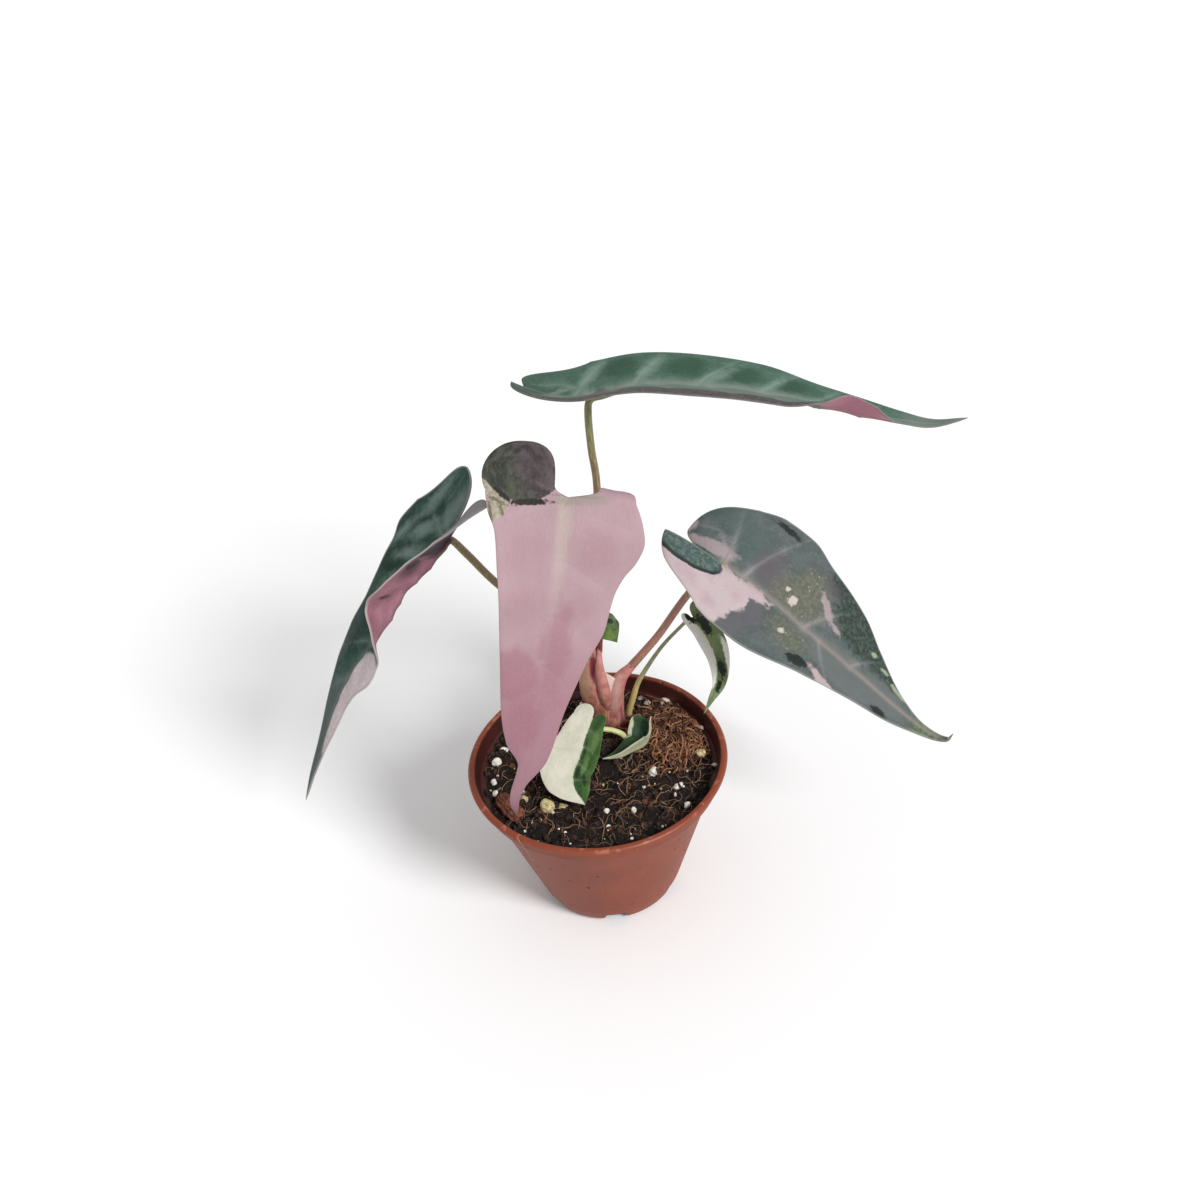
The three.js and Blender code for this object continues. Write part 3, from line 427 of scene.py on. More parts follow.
def lumps(places, diameters, seed, splits, rough):
    """Many balls made lumpy: waves over the direction, drawn for each ball, move its points out or in."""
    unit, faces = ball(splits)
    drawn = np.random.default_rng(seed)
    count = len(places)
    waves = drawn.normal(0, 2.2, (count, 3, 3))
    phase = drawn.uniform(0, 6.28, (count, 3))
    swell = np.sin(np.einsum("nij,pj->npi", waves, unit) + phase[:, None]).mean(axis=2)
    stretch = drawn.uniform(0.7, 1.15, (count, 1, 3))
    shape = unit[None] * (1 + rough * swell[..., None]) * stretch * (np.array(diameters) / 2)[:, None, None]
    points = (shape + np.array(places)[:, None]).reshape(-1, 3)
    triangles = (faces[None] + (np.arange(count) * len(unit))[:, None, None]).reshape(-1, 3)
    return points, triangles


def on_soil(x, y, above):
    """Places on the soil's top, each a little above or under it."""
    return np.column_stack([x, y, soil_height(np.asarray(x, float), np.asarray(y, float)) + above])


def scattered(seed, count, limit):
    """Places x and y drawn evenly over a disc of that radius."""
    drawn = np.random.default_rng(seed)
    reach = limit * np.sqrt(drawn.uniform(0, 1, count))
    turn = drawn.uniform(0, 2 * np.pi, count)
    return reach * np.cos(turn), reach * np.sin(turn)


def mineral_finish():
    """Chalky white with grey pits; yellowish where the grain is."""
    finish = Finish("white mineral grain")
    place = finish.place()
    pits = finish.noise(place, 0.55, 4.0, 0.6)
    clean = finish.mix(pits.smooth_step(0.3, 0.55), colour(170, 162, 148), colour(240, 234, 222))
    stained = finish.mix(pits.smooth_step(0.35, 0.62), colour(138, 116, 76), colour(216, 202, 152))
    base = finish.mix(finish.field("yellow"), clean, stained)
    return finish.finished(base, 0.8, pits, 0.35, specular_ior_level=0.3)


def crumb_finish():
    """Dark brown crumbs, some reddish like bark."""
    finish = Finish("peat and bark crumbs")
    place = finish.place()
    base = finish.mix(
        finish.noise(place, 0.8, 4.0).smooth_step(0.4, 0.62), colour(22, 16, 14), colour(64, 46, 38),
    )
    base = finish.mix(finish.noise(place, 6.0, 1.0).smooth_step(0.56, 0.64), base, colour(96, 60, 42))
    return finish.finished(base, 0.85, finish.noise(place, 0.4, 3.0), 0.3, specular_ior_level=0.3)


SPARE_GRAIN_COUNT = 90
YELLOW_ABOVE = 0.75
grain = np.array(GRAINS, float)
spare_x, spare_y = scattered(31, SPARE_GRAIN_COUNT, 30.0)
spare_size = np.random.default_rng(32).uniform(0.35, 1.0, SPARE_GRAIN_COUNT)
grain_places = np.vstack([
    on_soil(grain[:, 0], grain[:, 1], 0.12 * grain[:, 2]),
    on_soil(spare_x, spare_y, 0.1),
])
grain_sizes = np.concatenate([grain[:, 2], spare_size])
points, faces = lumps(grain_places, grain_sizes, 33, 2, 0.28)
spare_tone = np.random.default_rng(34).uniform(0, 1, SPARE_GRAIN_COUNT)
yellow = np.concatenate([grain[:, 3], (spare_tone > YELLOW_ABOVE).astype(float)])
yellow_field = np.repeat(yellow, len(points) // len(yellow))
piece("soil_grains", points, faces, mineral_finish(), {"yellow": yellow_field}, None)

CRUMB_COUNT = 620
CRUMB_LARGEST = 2.1
crumb_x, crumb_y = scattered(41, CRUMB_COUNT, 31.0)
crumb_size = np.random.default_rng(42).uniform(0.45, 1.0, CRUMB_COUNT) ** 2 * CRUMB_LARGEST
points, faces = lumps(on_soil(crumb_x, crumb_y, 0.05), crumb_size, 43, 1, 0.45)
piece("soil_crumbs", points, faces, crumb_finish(), {}, None)


# Loose roots
# Fine pale brown roots and coir fibres that were watered up to the top of the mix. They lie curled on it,
# and one hangs over the lip of the pot.

def unit_rows(vectors):
    """The vectors at unit length."""
    return vectors / np.maximum(np.linalg.norm(vectors, axis=-1, keepdims=True), 1e-9)


def threads(paths, radii, sides):
    """Thin round tubes: a ring of points about each place of each path, square to the path there."""
    count, places = paths.shape[:2]
    tangent = unit_rows(np.gradient(paths, axis=1))
    spread = np.abs(tangent).mean(axis=1)
    aside = np.eye(3)[np.argmin(spread, axis=1)][:, None]
    normal = unit_rows(np.cross(tangent, aside))
    across = np.cross(tangent, normal)
    angle = np.linspace(0, 2 * np.pi, sides, endpoint=False)
    ring = normal[:, :, None] * np.cos(angle)[:, None] + across[:, :, None] * np.sin(angle)[:, None]
    points = (paths[:, :, None] + ring * radii[:, :, None, None]).reshape(-1, 3)
    wall = sheet_triangles(places, sides, around=True)
    fan = np.column_stack([np.zeros(sides - 2, int), np.arange(2, sides), np.arange(1, sides - 1)])
    last = (places - 1) * sides
    one = np.vstack([wall, fan, fan[:, ::-1] + last])
    volume_sign = outwards(points[:places * sides], one)
    triangles = (volume_sign[None] + (np.arange(count) * places * sides)[:, None, None]).reshape(-1, 3)
    return points, triangles


def curled(seed, x, y, length, bend, places):
    """Flat paths from each start: the heading drifts by a drawn slow turn and two drawn waves."""
    drawn = np.random.default_rng(seed)
    count = len(x)
    share = np.linspace(0, 1, places)
    start = drawn.uniform(0, 2 * np.pi, (count, 1))
    drift = drawn.normal(0, bend, (count, 1)) * share
    wave = 0.7 * np.sin(share * drawn.uniform(3, 10, (count, 1)) + drawn.uniform(0, 6.28, (count, 1)))
    heading = start + drift + wave
    step = np.asarray(length)[:, None] / places
    path_x = x[:, None] + np.cumsum(step * np.cos(heading), axis=1)
    path_y = y[:, None] + np.cumsum(step * np.sin(heading), axis=1)
    return path_x, path_y


def kept_inside(x, y, limit):
    """The same places, drawn in to the limit where they lie further from the axis."""
    far = np.maximum(np.hypot(x, y) / limit, 1)
    return x / far, y / far


def root_finish(name, dark, pale):
    """Dry root: its tone differs from root to root and in short lengths."""
    finish = Finish(name)
    place = finish.place()
    tone = finish.field("tone") * 0.75 + finish.noise(place, 1.8, 2.0) * 0.35
    base = finish.mix(tone.smooth_step(0.2, 0.95), dark, pale)
    return finish.finished(base, 0.7, finish.noise(place, 0.25, 2.0), 0.05)


ROOT_COUNT = 480
ROOT_PLACES = 13
start_x, start_y = scattered(51, ROOT_COUNT, 28.5)
drawn = np.random.default_rng(52)
root_length = drawn.uniform(2.5, 11, ROOT_COUNT)
path_x, path_y = curled(53, start_x, start_y, root_length, 1.1, ROOT_PLACES)
path_x, path_y = kept_inside(path_x, path_y, 30.6)
share = np.linspace(0, 1, ROOT_PLACES)
lift = np.sin(np.pi * share) * drawn.uniform(-0.1, 1.3, (ROOT_COUNT, 1)) + 0.1
path_z = soil_height(path_x, path_y) + lift
thick = drawn.uniform(0.04, 0.13, (ROOT_COUNT, 1)) * (0.5 + 0.5 * np.sin(np.pi * share) ** 0.5)
points, faces = threads(np.stack([path_x, path_y, path_z], axis=-1), thick, 4)
tones = np.repeat(drawn.uniform(0, 1, ROOT_COUNT), ROOT_PLACES * 4)
loose_root = root_finish("dry fine root", colour(60, 38, 27), colour(160, 124, 94))
piece("loose_roots", points, faces, loose_root, {"tone": tones}, None)

HANGING_ROOT = [
    (-20.5, -22.5, 41.6), (-21.3, -24.6, 43.0), (-21.9, -26.4, 45.6), (-22.0, -27.3, 45.75),
    (-21.6, -27.4, 44.4), (-20.9, -26.5, 41.0), (-20.3, -25.3, 37.6), (-19.3, -24.5, 34.2),
]


# Crown
# The short stem and its two leaf sheaths, one living piece: the left sheath holds the stalks of three large
# leaves and is split by a crimson slit, the right one runs into the right leaf's stalk over a pale membrane.

def through(places, values, at):
    """A smooth curve through the values that never overshoots. A slope is the harmonic mean of its steps."""
    places = np.asarray(places, float)
    values = np.asarray(values, float)
    if len(places) == 1:
        return np.full((*np.shape(at), *values.shape[1:]), values[0])
    flat = values.ndim == 1
    values = values.reshape(len(places), -1)
    width = np.diff(places)[:, None]
    step = np.diff(values, axis=0) / width
    slope = np.zeros_like(values)
    product = step[:-1] * step[1:]
    total = np.where(step[:-1] + step[1:] == 0, 1, step[:-1] + step[1:])
    slope[1:-1] = np.where(product > 0, 2 * product / total, 0)
    slope[0] = step[0]
    slope[-1] = step[-1]
    at = np.clip(at, places[0], places[-1])
    i = np.clip(np.searchsorted(places, at, side="right") - 1, 0, len(places) - 2)
    t = ((at - places[i]) / (places[i + 1] - places[i]))[..., None]
    w = width[i]
    start = (2 * t ** 3 - 3 * t ** 2 + 1) * values[i] + (t ** 3 - 2 * t ** 2 + t) * w * slope[i]
    end = (3 * t ** 2 - 2 * t ** 3) * values[i + 1] + (t ** 3 - t ** 2) * w * slope[i + 1]
    return (start + end)[..., 0] if flat else start + end


def path_at(points, shares):
    """Along the uniform cubic curve through the points: places and directions at shares of its length, that
    length, and the share at which each point lies."""
    points = np.asarray(points, float)
    knots = np.vstack([2 * points[0] - points[1], points, 2 * points[-1] - points[-2]])
    t = np.linspace(0, len(points) - 1, 60 * len(points))
    i = np.clip(np.floor(t).astype(int), 0, len(points) - 2)
    f = (t - i)[:, None]
    a, b, c, d = knots[i], knots[i + 1], knots[i + 2], knots[i + 3]
    line = 0.5 * (
        2 * b + (c - a) * f + (2 * a - 5 * b + 4 * c - d) * f ** 2 + (3 * b - a - 3 * c + d) * f ** 3
    )
    run = np.concatenate([[0], np.cumsum(np.linalg.norm(np.diff(line, axis=0), axis=1))])
    heading = unit_rows(np.gradient(line, axis=0))
    place = np.column_stack([np.interp(shares, run / run[-1], line[:, axis]) for axis in range(3)])
    tangent = np.column_stack([np.interp(shares, run / run[-1], heading[:, axis]) for axis in range(3)])
    knot_share = np.interp(np.arange(len(points)), t, run / run[-1])
    return place, unit_rows(tangent), run[-1], knot_share


def stalk(places, sides, step, facing):
    """What a tube through (x, y, z, radius) places is made of: middles, unit rings, radii, the shares of its
    length, and the angles from the facing direction."""
    places = np.asarray(places, float)
    length = path_at(places[:, :3], np.zeros(1))[2]
    rows = max(6, int(length / step))
    share = np.linspace(0, 1, rows)
    middle, tangent, _, knots = path_at(places[:, :3], share)
    radius = through(knots, places[:, 3], share)
    front = np.asarray(facing, float) - (tangent @ np.asarray(facing, float))[:, None] * tangent
    front = unit_rows(front)
    side = np.cross(tangent, front)
    angle = np.linspace(-np.pi, np.pi, sides, endpoint=False)
    ring = front[:, None] * np.cos(angle)[:, None] + side[:, None] * np.sin(angle)[:, None]
    return middle, ring, radius, share, angle


def closed_tube(rings):
    """Points and triangles of a tube from its rings of points, with a fan to the middle of each end."""
    rows, sides = rings.shape[:2]
    points = np.vstack([rings.reshape(-1, 3), rings[0].mean(axis=0), rings[-1].mean(axis=0)])
    index = np.arange(sides)
    first = np.column_stack([index, (index + 1) % sides, np.full(sides, rows * sides)])
    last = (rows - 1) * sides + np.column_stack([(index + 1) % sides, index, np.full(sides, 0)])
    last[:, 2] = rows * sides + 1
    return points, outwards(points, np.vstack([sheet_triangles(rows, sides, around=True), first, last]))


def with_ends(field):
    """A field over a tube's rings as numbers for its points, with the mean at each end's middle."""
    return np.concatenate([field.ravel(), [field[0].mean(), field[-1].mean()]])


TOWARDS_CAMERA = (0, -1, 0.3)
STEM = [(5.6, 17, 35, 3.2), (5.5, 17, 40.5, 3.35), (4.9, 17, 45, 3.6), (3.8, 17, 49, 3.0)]
LEFT_SHEATH = [
    (4.7, 17, 42, 3.1), (2.6, 17, 48, 3.7), (1.3, 17, 52.5, 3.85), (0.9, 17.2, 56.5, 3.65),
    (1.1, 17.4, 60, 3.2), (1.5, 17.6, 64.5, 2.8), (1.6, 17.8, 68.6, 2.2),
]
STRAND = [
    (4.2, 14.6, 49, 1.2), (3.9, 13.7, 54, 1.75), (3.6, 13.9, 58.5, 1.6), (3.3, 14.7, 63, 1.2),
    (3.5, 16, 67, 0.9), (3.9, 16.4, 69.4, 0.7),
]
RIGHT_SHEATH = [
    (5.8, 16.4, 42, 2.7), (6.1, 16.2, 48, 2.7), (6.9, 16.2, 53.5, 2.4), (8.8, 16.4, 57.8, 1.85),
    (11.4, 16.5, 60.6, 1.3), (12.2, 16.5, 61.6, 1.2),
]
MEMBRANE_LEFT = [(3.9, 15.2, 47), (4.3, 14.6, 52), (4.6, 14.6, 57), (4.7, 15, 61.2)]
MEMBRANE_RIGHT = [(7, 14.8, 46), (7.2, 15, 51), (8.6, 15.4, 55.8), (9.8, 15.9, 58.2)]
MEMBRANE_ROWS = 46
MEMBRANE_COLUMNS = 26
CROWN_STEP = 0.35
STRAND_SIDES = 32
RIGHT_SHEATH_SIDES = 44


def crown_finish():
    """Reddish brown to pink tissue with fine lengthwise stripes, and the tints that its parts carry."""
    finish = Finish("living leaf sheath")
    place = finish.place()
    height = finish.node("ShaderNodeSeparateXYZ", {}, {0: place}, "Z")
    mottle = finish.noise(place, 1.6, 4.0)
    lines = finish.noise(finish.stretched(place, 1, 1, 0.08), 0.35, 3.0)
    base = finish.mix(mottle.smooth_step(0.35, 0.65), colour(150, 84, 74), colour(184, 122, 108))
    base = finish.mix(lines.smooth_step(0.5, 0.68) * 0.45, base, colour(206, 156, 142))
    base = finish.mix(finish.field("rosy") * (0.55 + 0.45 * mottle), base, colour(196, 128, 126))
    olive = finish.field("olive") + (mottle - 0.5) * 0.9
    base = finish.mix(olive.smooth_step(0.45, 0.75) * 0.8, base, colour(166, 134, 104))
    base = finish.mix(finish.field("pale"), base, colour(222, 200, 190))
    base = finish.mix(finish.field("crimson"), base, colour(112, 34, 48))
    foot = height.smooth_step(43.5, 41.2)
    base = finish.mix(foot * (0.7 + 0.3 * mottle), base, colour(132, 40, 26))
    scar = (height + mottle * 1.4).maths("PINGPONG", 1.9).smooth_step(0.16, 0.0)
    base = finish.mix(scar * height.smooth_step(50.5, 46.5) * 0.55, base, colour(98, 46, 34))
    freckles = finish.cells(place, 0.9).smooth_step(0.2, 0.1)
    freckles = freckles * finish.noise(place, 4.0, 1.0).smooth_step(0.5, 0.6)
    base = finish.mix(freckles * 0.35, base, colour(110, 54, 46))
    bump = lines + mottle * 0.6 - scar * 0.5
    return finish.finished(base, 0.42, bump, 0.12, specular_ior_level=0.5, subsurface_weight=0.08)


def lens(u, v, u0, v0, half_u, half_v):
    """1 inside an oval, falling softly to 0 at its edge."""
    inside = 1 - np.sqrt(((u - u0) / half_u) ** 2 + ((v - v0) / half_v) ** 2)
    return np.clip(inside * 2.2, 0, 1)


crown_parts = []


def add_crown_part(points, faces, **fields):
    """Keeps a part of the crown, with zero for each tint that it doesn't name."""
    tints = {tint: fields.get(tint, np.zeros(len(points))) for tint in ("rosy", "olive", "pale", "crimson")}
    crown_parts.append((points, faces, tints))


middle, ring, radius, share, angle = stalk(STEM, 40, CROWN_STEP, TOWARDS_CAMERA)
swell = radius[:, None] * (1 + 0.03 * np.sin(3 * angle) + 0.03 * np.sin(22 * share)[:, None])
points, faces = closed_tube(middle[:, None] + ring * swell[..., None])
add_crown_part(points, faces)

middle, ring, radius, share, angle = stalk(LEFT_SHEATH, 56, CROWN_STEP, TOWARDS_CAMERA)
slit = lens(angle[None], share[:, None], 0.05, 0.8, 0.42, 0.2)
fluted = 1 + 0.035 * np.sin(5 * angle + 1)[None] - 0.3 * slit
points, faces = closed_tube(middle[:, None] + ring * (radius[:, None] * fluted)[..., None])
olive = lens(angle[None], share[:, None], -0.75, 0.66, 1.0, 0.3)
add_crown_part(points, faces, crimson=with_ends(slit), olive=with_ends(olive))

middle, ring, radius, share, angle = stalk(STRAND, STRAND_SIDES, CROWN_STEP, TOWARDS_CAMERA)
points, faces = closed_tube(middle[:, None] + ring * radius[:, None, None])
rosy = np.repeat(share[:, None], STRAND_SIDES, axis=1)
dark_side = lens(angle[None], share[:, None], -1.4, 0.95, 1.0, 0.25)
add_crown_part(points, faces, rosy=with_ends(rosy * 0.8), crimson=with_ends(dark_side))

middle, ring, radius, share, angle = stalk(RIGHT_SHEATH, RIGHT_SHEATH_SIDES, CROWN_STEP, TOWARDS_CAMERA)
points, faces = closed_tube(
    middle[:, None] + ring * (radius[:, None] * (1 + 0.03 * np.sin(4 * angle)))[..., None]
)
streak = lens(angle[None], share[:, None], 0.75, 0.2, 0.16, 0.22)
rosy = np.repeat((0.4 + 0.3 * share)[:, None], RIGHT_SHEATH_SIDES, axis=1)
pale = lens(angle[None], share[:, None], -0.5, 0.55, 1.1, 0.35) * 0.35
add_crown_part(points, faces, rosy=with_ends(rosy), crimson=with_ends(streak * 0.75), pale=with_ends(pale))


def membrane_points():
    """A thin web between two curves whose top edge sags. Its two faces are half a millimetre apart."""
    up = np.linspace(0, 1, MEMBRANE_ROWS)
    left, _, _, _ = path_at(MEMBRANE_LEFT, up)
    right, _, _, _ = path_at(MEMBRANE_RIGHT, up)
    across = np.linspace(0, 1, MEMBRANE_COLUMNS)
    sag = 1 - 0.16 * np.sin(np.pi * across)
    web = left[:, None] * (1 - across[None, :, None]) + right[:, None] * across[None, :, None]
    web[..., 2] = web[0, :, 2] + (web[..., 2] - web[0, :, 2]) * sag
    web[..., 1] -= 0.5 * np.sin(np.pi * across) * (1 - up[:, None])
    thick = 0.5 * (1 - 0.7 * up[:, None] ** 4) * np.ones(MEMBRANE_COLUMNS)
    front = web + np.array([0, -0.5, 0]) * thick[..., None]
    back = web + np.array([0, 0.5, 0]) * thick[..., None]
    rings = np.concatenate([front, back[:, ::-1]], axis=1)
    heights = np.repeat(up[:, None], 2 * MEMBRANE_COLUMNS, axis=1)
    return rings, heights


rings, heights = membrane_points()
points, faces = closed_tube(rings)
pale = np.clip((heights - 0.35) / 0.5, 0, 1) ** 0.8 * 0.85
add_crown_part(points, faces, pale=with_ends(pale), rosy=with_ends(1 - heights * 0.5))

offsets = np.cumsum([0] + [len(part[0]) for part in crown_parts[:-1]])
points = np.vstack([part[0] for part in crown_parts])
faces = np.vstack([part[1] + offset for part, offset in zip(crown_parts, offsets)])
crown_fields = {tint: np.concatenate([part[2][tint] for part in crown_parts]) for tint in crown_parts[0][2]}
piece("crown_sheaths", points, faces, crown_finish(), crown_fields, "crown")


# Root over the lip
# One thin pale root that was washed over the lip and dried on the outside of the pot.

middle, ring, radius, share, angle = stalk([(*place, 0.11) for place in HANGING_ROOT], 6, 0.4, (1, 0, 0))
points, faces = closed_tube(middle[:, None] + ring * radius[:, None, None])
piece("hanging_root", points, faces, loose_root, {"tone": np.full(len(points), 0.8)}, None)


# Fibre clump
# A tangle of dry coir and root fibres that lies on the soil between the stem and the wall of the pot.

CLUMP_X, CLUMP_Y = 20.5, 10.5
CLUMP_COUNT = 460
CLUMP_PLACES = 12
drawn = np.random.default_rng(61)
reach = 10.5 * drawn.uniform(0, 1, CLUMP_COUNT) ** 0.6
turn = drawn.uniform(0, 2 * np.pi, CLUMP_COUNT)
start_x = CLUMP_X + 0.95 * reach * np.cos(turn)
start_y = CLUMP_Y + 1.3 * reach * np.sin(turn)
path_x, path_y = curled(62, start_x, start_y, drawn.uniform(4, 12, CLUMP_COUNT), 1.6, CLUMP_PLACES)
path_x, path_y = kept_inside(path_x, path_y, 30.3)
share = np.linspace(0, 1, CLUMP_PLACES)
heap = 3.0 * np.exp(-((path_x - CLUMP_X) ** 2 + (path_y - CLUMP_Y) ** 2) / 60)
arch = np.sin(np.pi * share) * drawn.uniform(0, 2.4, (CLUMP_COUNT, 1))
path_z = soil_height(path_x, path_y) + 0.15 + heap * drawn.uniform(0, 1, (CLUMP_COUNT, 1)) + arch * 0.7
thick = drawn.uniform(0.07, 0.3, (CLUMP_COUNT, 1)) * (0.55 + 0.45 * np.sin(np.pi * share) ** 0.5)
points, faces = threads(np.stack([path_x, path_y, path_z], axis=-1), thick, 4)
tones = np.repeat(drawn.uniform(0, 1, CLUMP_COUNT), CLUMP_PLACES * 4)
coir = root_finish("dry coir fibre", colour(66, 36, 24), colour(164, 114, 80))
piece("coir_tangle", points, faces, coir, {"tone": tones}, "fibre_clump")


# Bark chip
# A curved strip of orange-brown bark that came with the mix and leans on the pot's inner wall.

CHIP_MIDDLE = (-24.4, -12, 41.9)
CHIP_LENGTH = 10.0
CHIP_WIDTH = 4.2
CHIP_THICKNESS = 0.9
CHIP_HEADING = -58
CHIP_TILT = 24
CHIP_ROWS = 60
CHIP_COLUMNS = 28


def turned(points, axis, degrees):
    """The points turned about the x axis (0) or the z axis (2)."""
    return points @ np.array(Matrix.Rotation(np.radians(degrees), 3, "XYZ"[axis])).T


def weld(points, triangles, tolerance=1e-4):
    """Points closer than the tolerance made one, and the triangles that this empties left out."""
    _, first, inverse = np.unique(
        np.round(points / tolerance), axis=0, return_index=True, return_inverse=True,
    )
    triangles = inverse.ravel()[triangles]
    kept = (triangles != np.roll(triangles, 1, axis=1)).all(axis=1)
    return first, triangles[kept]


def normals_of(points, triangles):
    """At each point, the mean direction of the triangles round it, weighted by their size."""
    a, b, c = (points[triangles[:, corner]] for corner in range(3))
    facing = np.cross(b - a, c - a)
    total = np.zeros_like(points)
    for corner in range(3):
        np.add.at(total, triangles[:, corner], facing)
    return unit_rows(total)


def thickened(points, triangles, above, below):
    """A sheet made a closed shell: moved up and down along its normals, and joined round its free edges."""
    normal = normals_of(points, triangles)
    count = len(points)
    edges = np.vstack([triangles[:, [0, 1]], triangles[:, [1, 2]], triangles[:, [2, 0]]])
    key = edges[:, 0] * count + edges[:, 1]
    twin = edges[:, 1] * count + edges[:, 0]
    free = edges[~np.isin(key, twin)]
    start, end = free[:, 0], free[:, 1]
    shell = np.vstack([
        triangles, triangles[:, ::-1] + count,
        np.column_stack([end, start, start + count]), np.column_stack([end, start + count, end + count]),
    ])
    return np.vstack([points + normal * above[:, None], points - normal * below[:, None]]), shell


along = np.linspace(-1, 1, CHIP_ROWS)[:, None]
across = np.linspace(-1, 1, CHIP_COLUMNS)[None]
half_width = (CHIP_WIDTH / 2) * (0.35 + 0.65 * np.sqrt(1 - along ** 4)) * (1 + 0.06 * np.sin(9 * along))
grain = 0.12 * np.sin(14 * across + 2 * along) + 0.06 * np.sin(23 * across)
bowed = (1 - along ** 2) - 0.5 * across ** 2 + grain
chip = np.stack([CHIP_LENGTH / 2 * along * np.ones_like(across), half_width * across, bowed], axis=-1)
chip = turned(turned(chip.reshape(-1, 3), 0, CHIP_TILT), 2, CHIP_HEADING) + np.array(CHIP_MIDDLE)
half_thick = np.full(len(chip), CHIP_THICKNESS / 2)
points, faces = thickened(chip, sheet_triangles(CHIP_ROWS, CHIP_COLUMNS), half_thick, half_thick)
finish = Finish("bark")
place = finish.place()
ridges = finish.noise(finish.stretched(place, 1.0, 0.3, 1.0), 0.5, 4.0, 0.6)
bark = finish.mix(ridges.smooth_step(0.35, 0.65), colour(62, 30, 20), colour(140, 78, 50))
bark = finish.mix(finish.noise(place, 2.2, 3.0).smooth_step(0.5, 0.7) * 0.7, bark, colour(66, 30, 24))
chip_material = finish.finished(bark, 0.75, ridges, 0.4)
piece("bark_strip", points, outwards(points, faces), chip_material, {}, "bark_chip")


# Pink leaf
# The large leaf in front, which hangs down with its face to the viewer. Nearly all of it is pink, and one
# back lobe is dark green and purple-grey. Each leaf is one living blade on a fleshy stalk from the crown.

BLADE_THICKNESS = 0.6
BLADE_STEP = 0.45
BLADE_COLUMNS = 34
SLOT_WIDTH = 0.25
STALK_SIDES = 20
LOBE = {"length": 3, "turn": 0, "root": 0.5, "splay": 5, "blunt": 2.2, "slit": 3, "gap": 0, "flare": 0}


def widths_at(half, shares):
    """How far the half starts and ends from the midrib's line. Below share 0 both edges close in an arc
    at the lobe's end, and the inner edge leaves the sinus by a narrow slot."""
    lobe = {**LOBE, **half["lobe"]}
    width = half["width"]
    back = np.clip(-shares, 0, 1)
    root = lobe["root"] * width
    lean = back * lobe["length"] * np.tan(np.radians(lobe["splay"]))
    bulge = lobe["flare"] * np.sin(np.pi * back ** 0.8)
    arc = (1 - back ** lobe["blunt"]) ** (1 / lobe["blunt"])
    lobe_outer = root + (width - root) * arc + bulge + lean
    outline = np.array(half["outline"])
    outer = np.where(
        shares < 0, lobe_outer, width * through(outline[:, 0], outline[:, 1], np.clip(shares, 0, 1)),
    )
    opened = lobe["gap"] * (1 - np.clip(1 - back / 0.2, 0, 1) ** 2)
    slot = SLOT_WIDTH * np.clip(10 * back, 0, 1)
    lobe_inner = opened + slot + (root - lobe["gap"]) * (1 - np.sqrt(1 - back ** lobe["slit"])) + lean
    return np.where(shares < 0, np.minimum(lobe_inner, outer), 0), outer


def midrib_frame(leaf, shares):
    """Along the midrib at shares of it: the place, the direction, the length, and up from the leaf's face."""
    place, tangent, length, _ = path_at(leaf["midrib"], shares)
    face = np.array(leaf["face"], float)
    up = through(face[:, 0], unit_rows(face[:, 1:]), shares)
    up = unit_rows(up - (up * tangent).sum(axis=1, keepdims=True) * tangent)
    return place, tangent, length, up


def blade_half(leaf, side, shares, across):
    """The sheet of one half: each section is an arc that leaves the midrib at the fold and turns by the curl.
    The lobe's sections stand on an arc that leaves the sinus and bends down by the lobe's turn."""
    half = leaf["right"] if side > 0 else leaf["left"]
    lobe = {**LOBE, **half["lobe"]}
    on_rib = np.clip(shares, 0, 1)
    back = np.clip(-shares, 0, 1)[:, None]
    place, tangent, length, up = midrib_frame(leaf, on_rib)
    right = np.cross(tangent, up)
    turn = np.radians(lobe["turn"]) + 1e-6
    arc = turn * back
    bent = lobe["length"] / turn * (np.sin(arc) * tangent + (1 - np.cos(arc)) * up)
    place = place - np.where(back > 0, bent, 0)
    up = np.cos(arc) * up - np.sin(arc) * tangent
    inner, outer = widths_at(half, shares)
    distance = inner[:, None] + (outer - inner)[:, None] * across
    fold = np.radians(through(*np.array(half["fold"], float).T, shares))[:, None]
    bend = np.radians(through(*np.array(half["curl"], float).T, shares))[:, None] / half["width"]
    bend = np.where(np.abs(bend) < 1e-5, 1e-5, bend)
    heading = fold + bend * distance
    sideways = (np.sin(heading) - np.sin(fold)) / bend
    risen = (np.cos(fold) - np.cos(heading)) / bend
    if "lift" in lobe:
        stood = np.clip(1 - distance / (lobe["crease"] * half["width"]), 0, 1)
        risen = risen + lobe["lift"] * back ** 1.3 * stood
    points = place[:, None] + side * right[:, None] * sideways[..., None] + up[:, None] * risen[..., None]
    along = np.where(shares < 0, shares * lobe["length"], shares * length)[:, None] * np.ones_like(distance)
    margin = (1 - across) * (outer - inner)[:, None]
    margin = np.where(shares[:, None] < 0, np.minimum(margin, across * (outer - inner)[:, None]), margin)
    return points, side * distance, along, margin


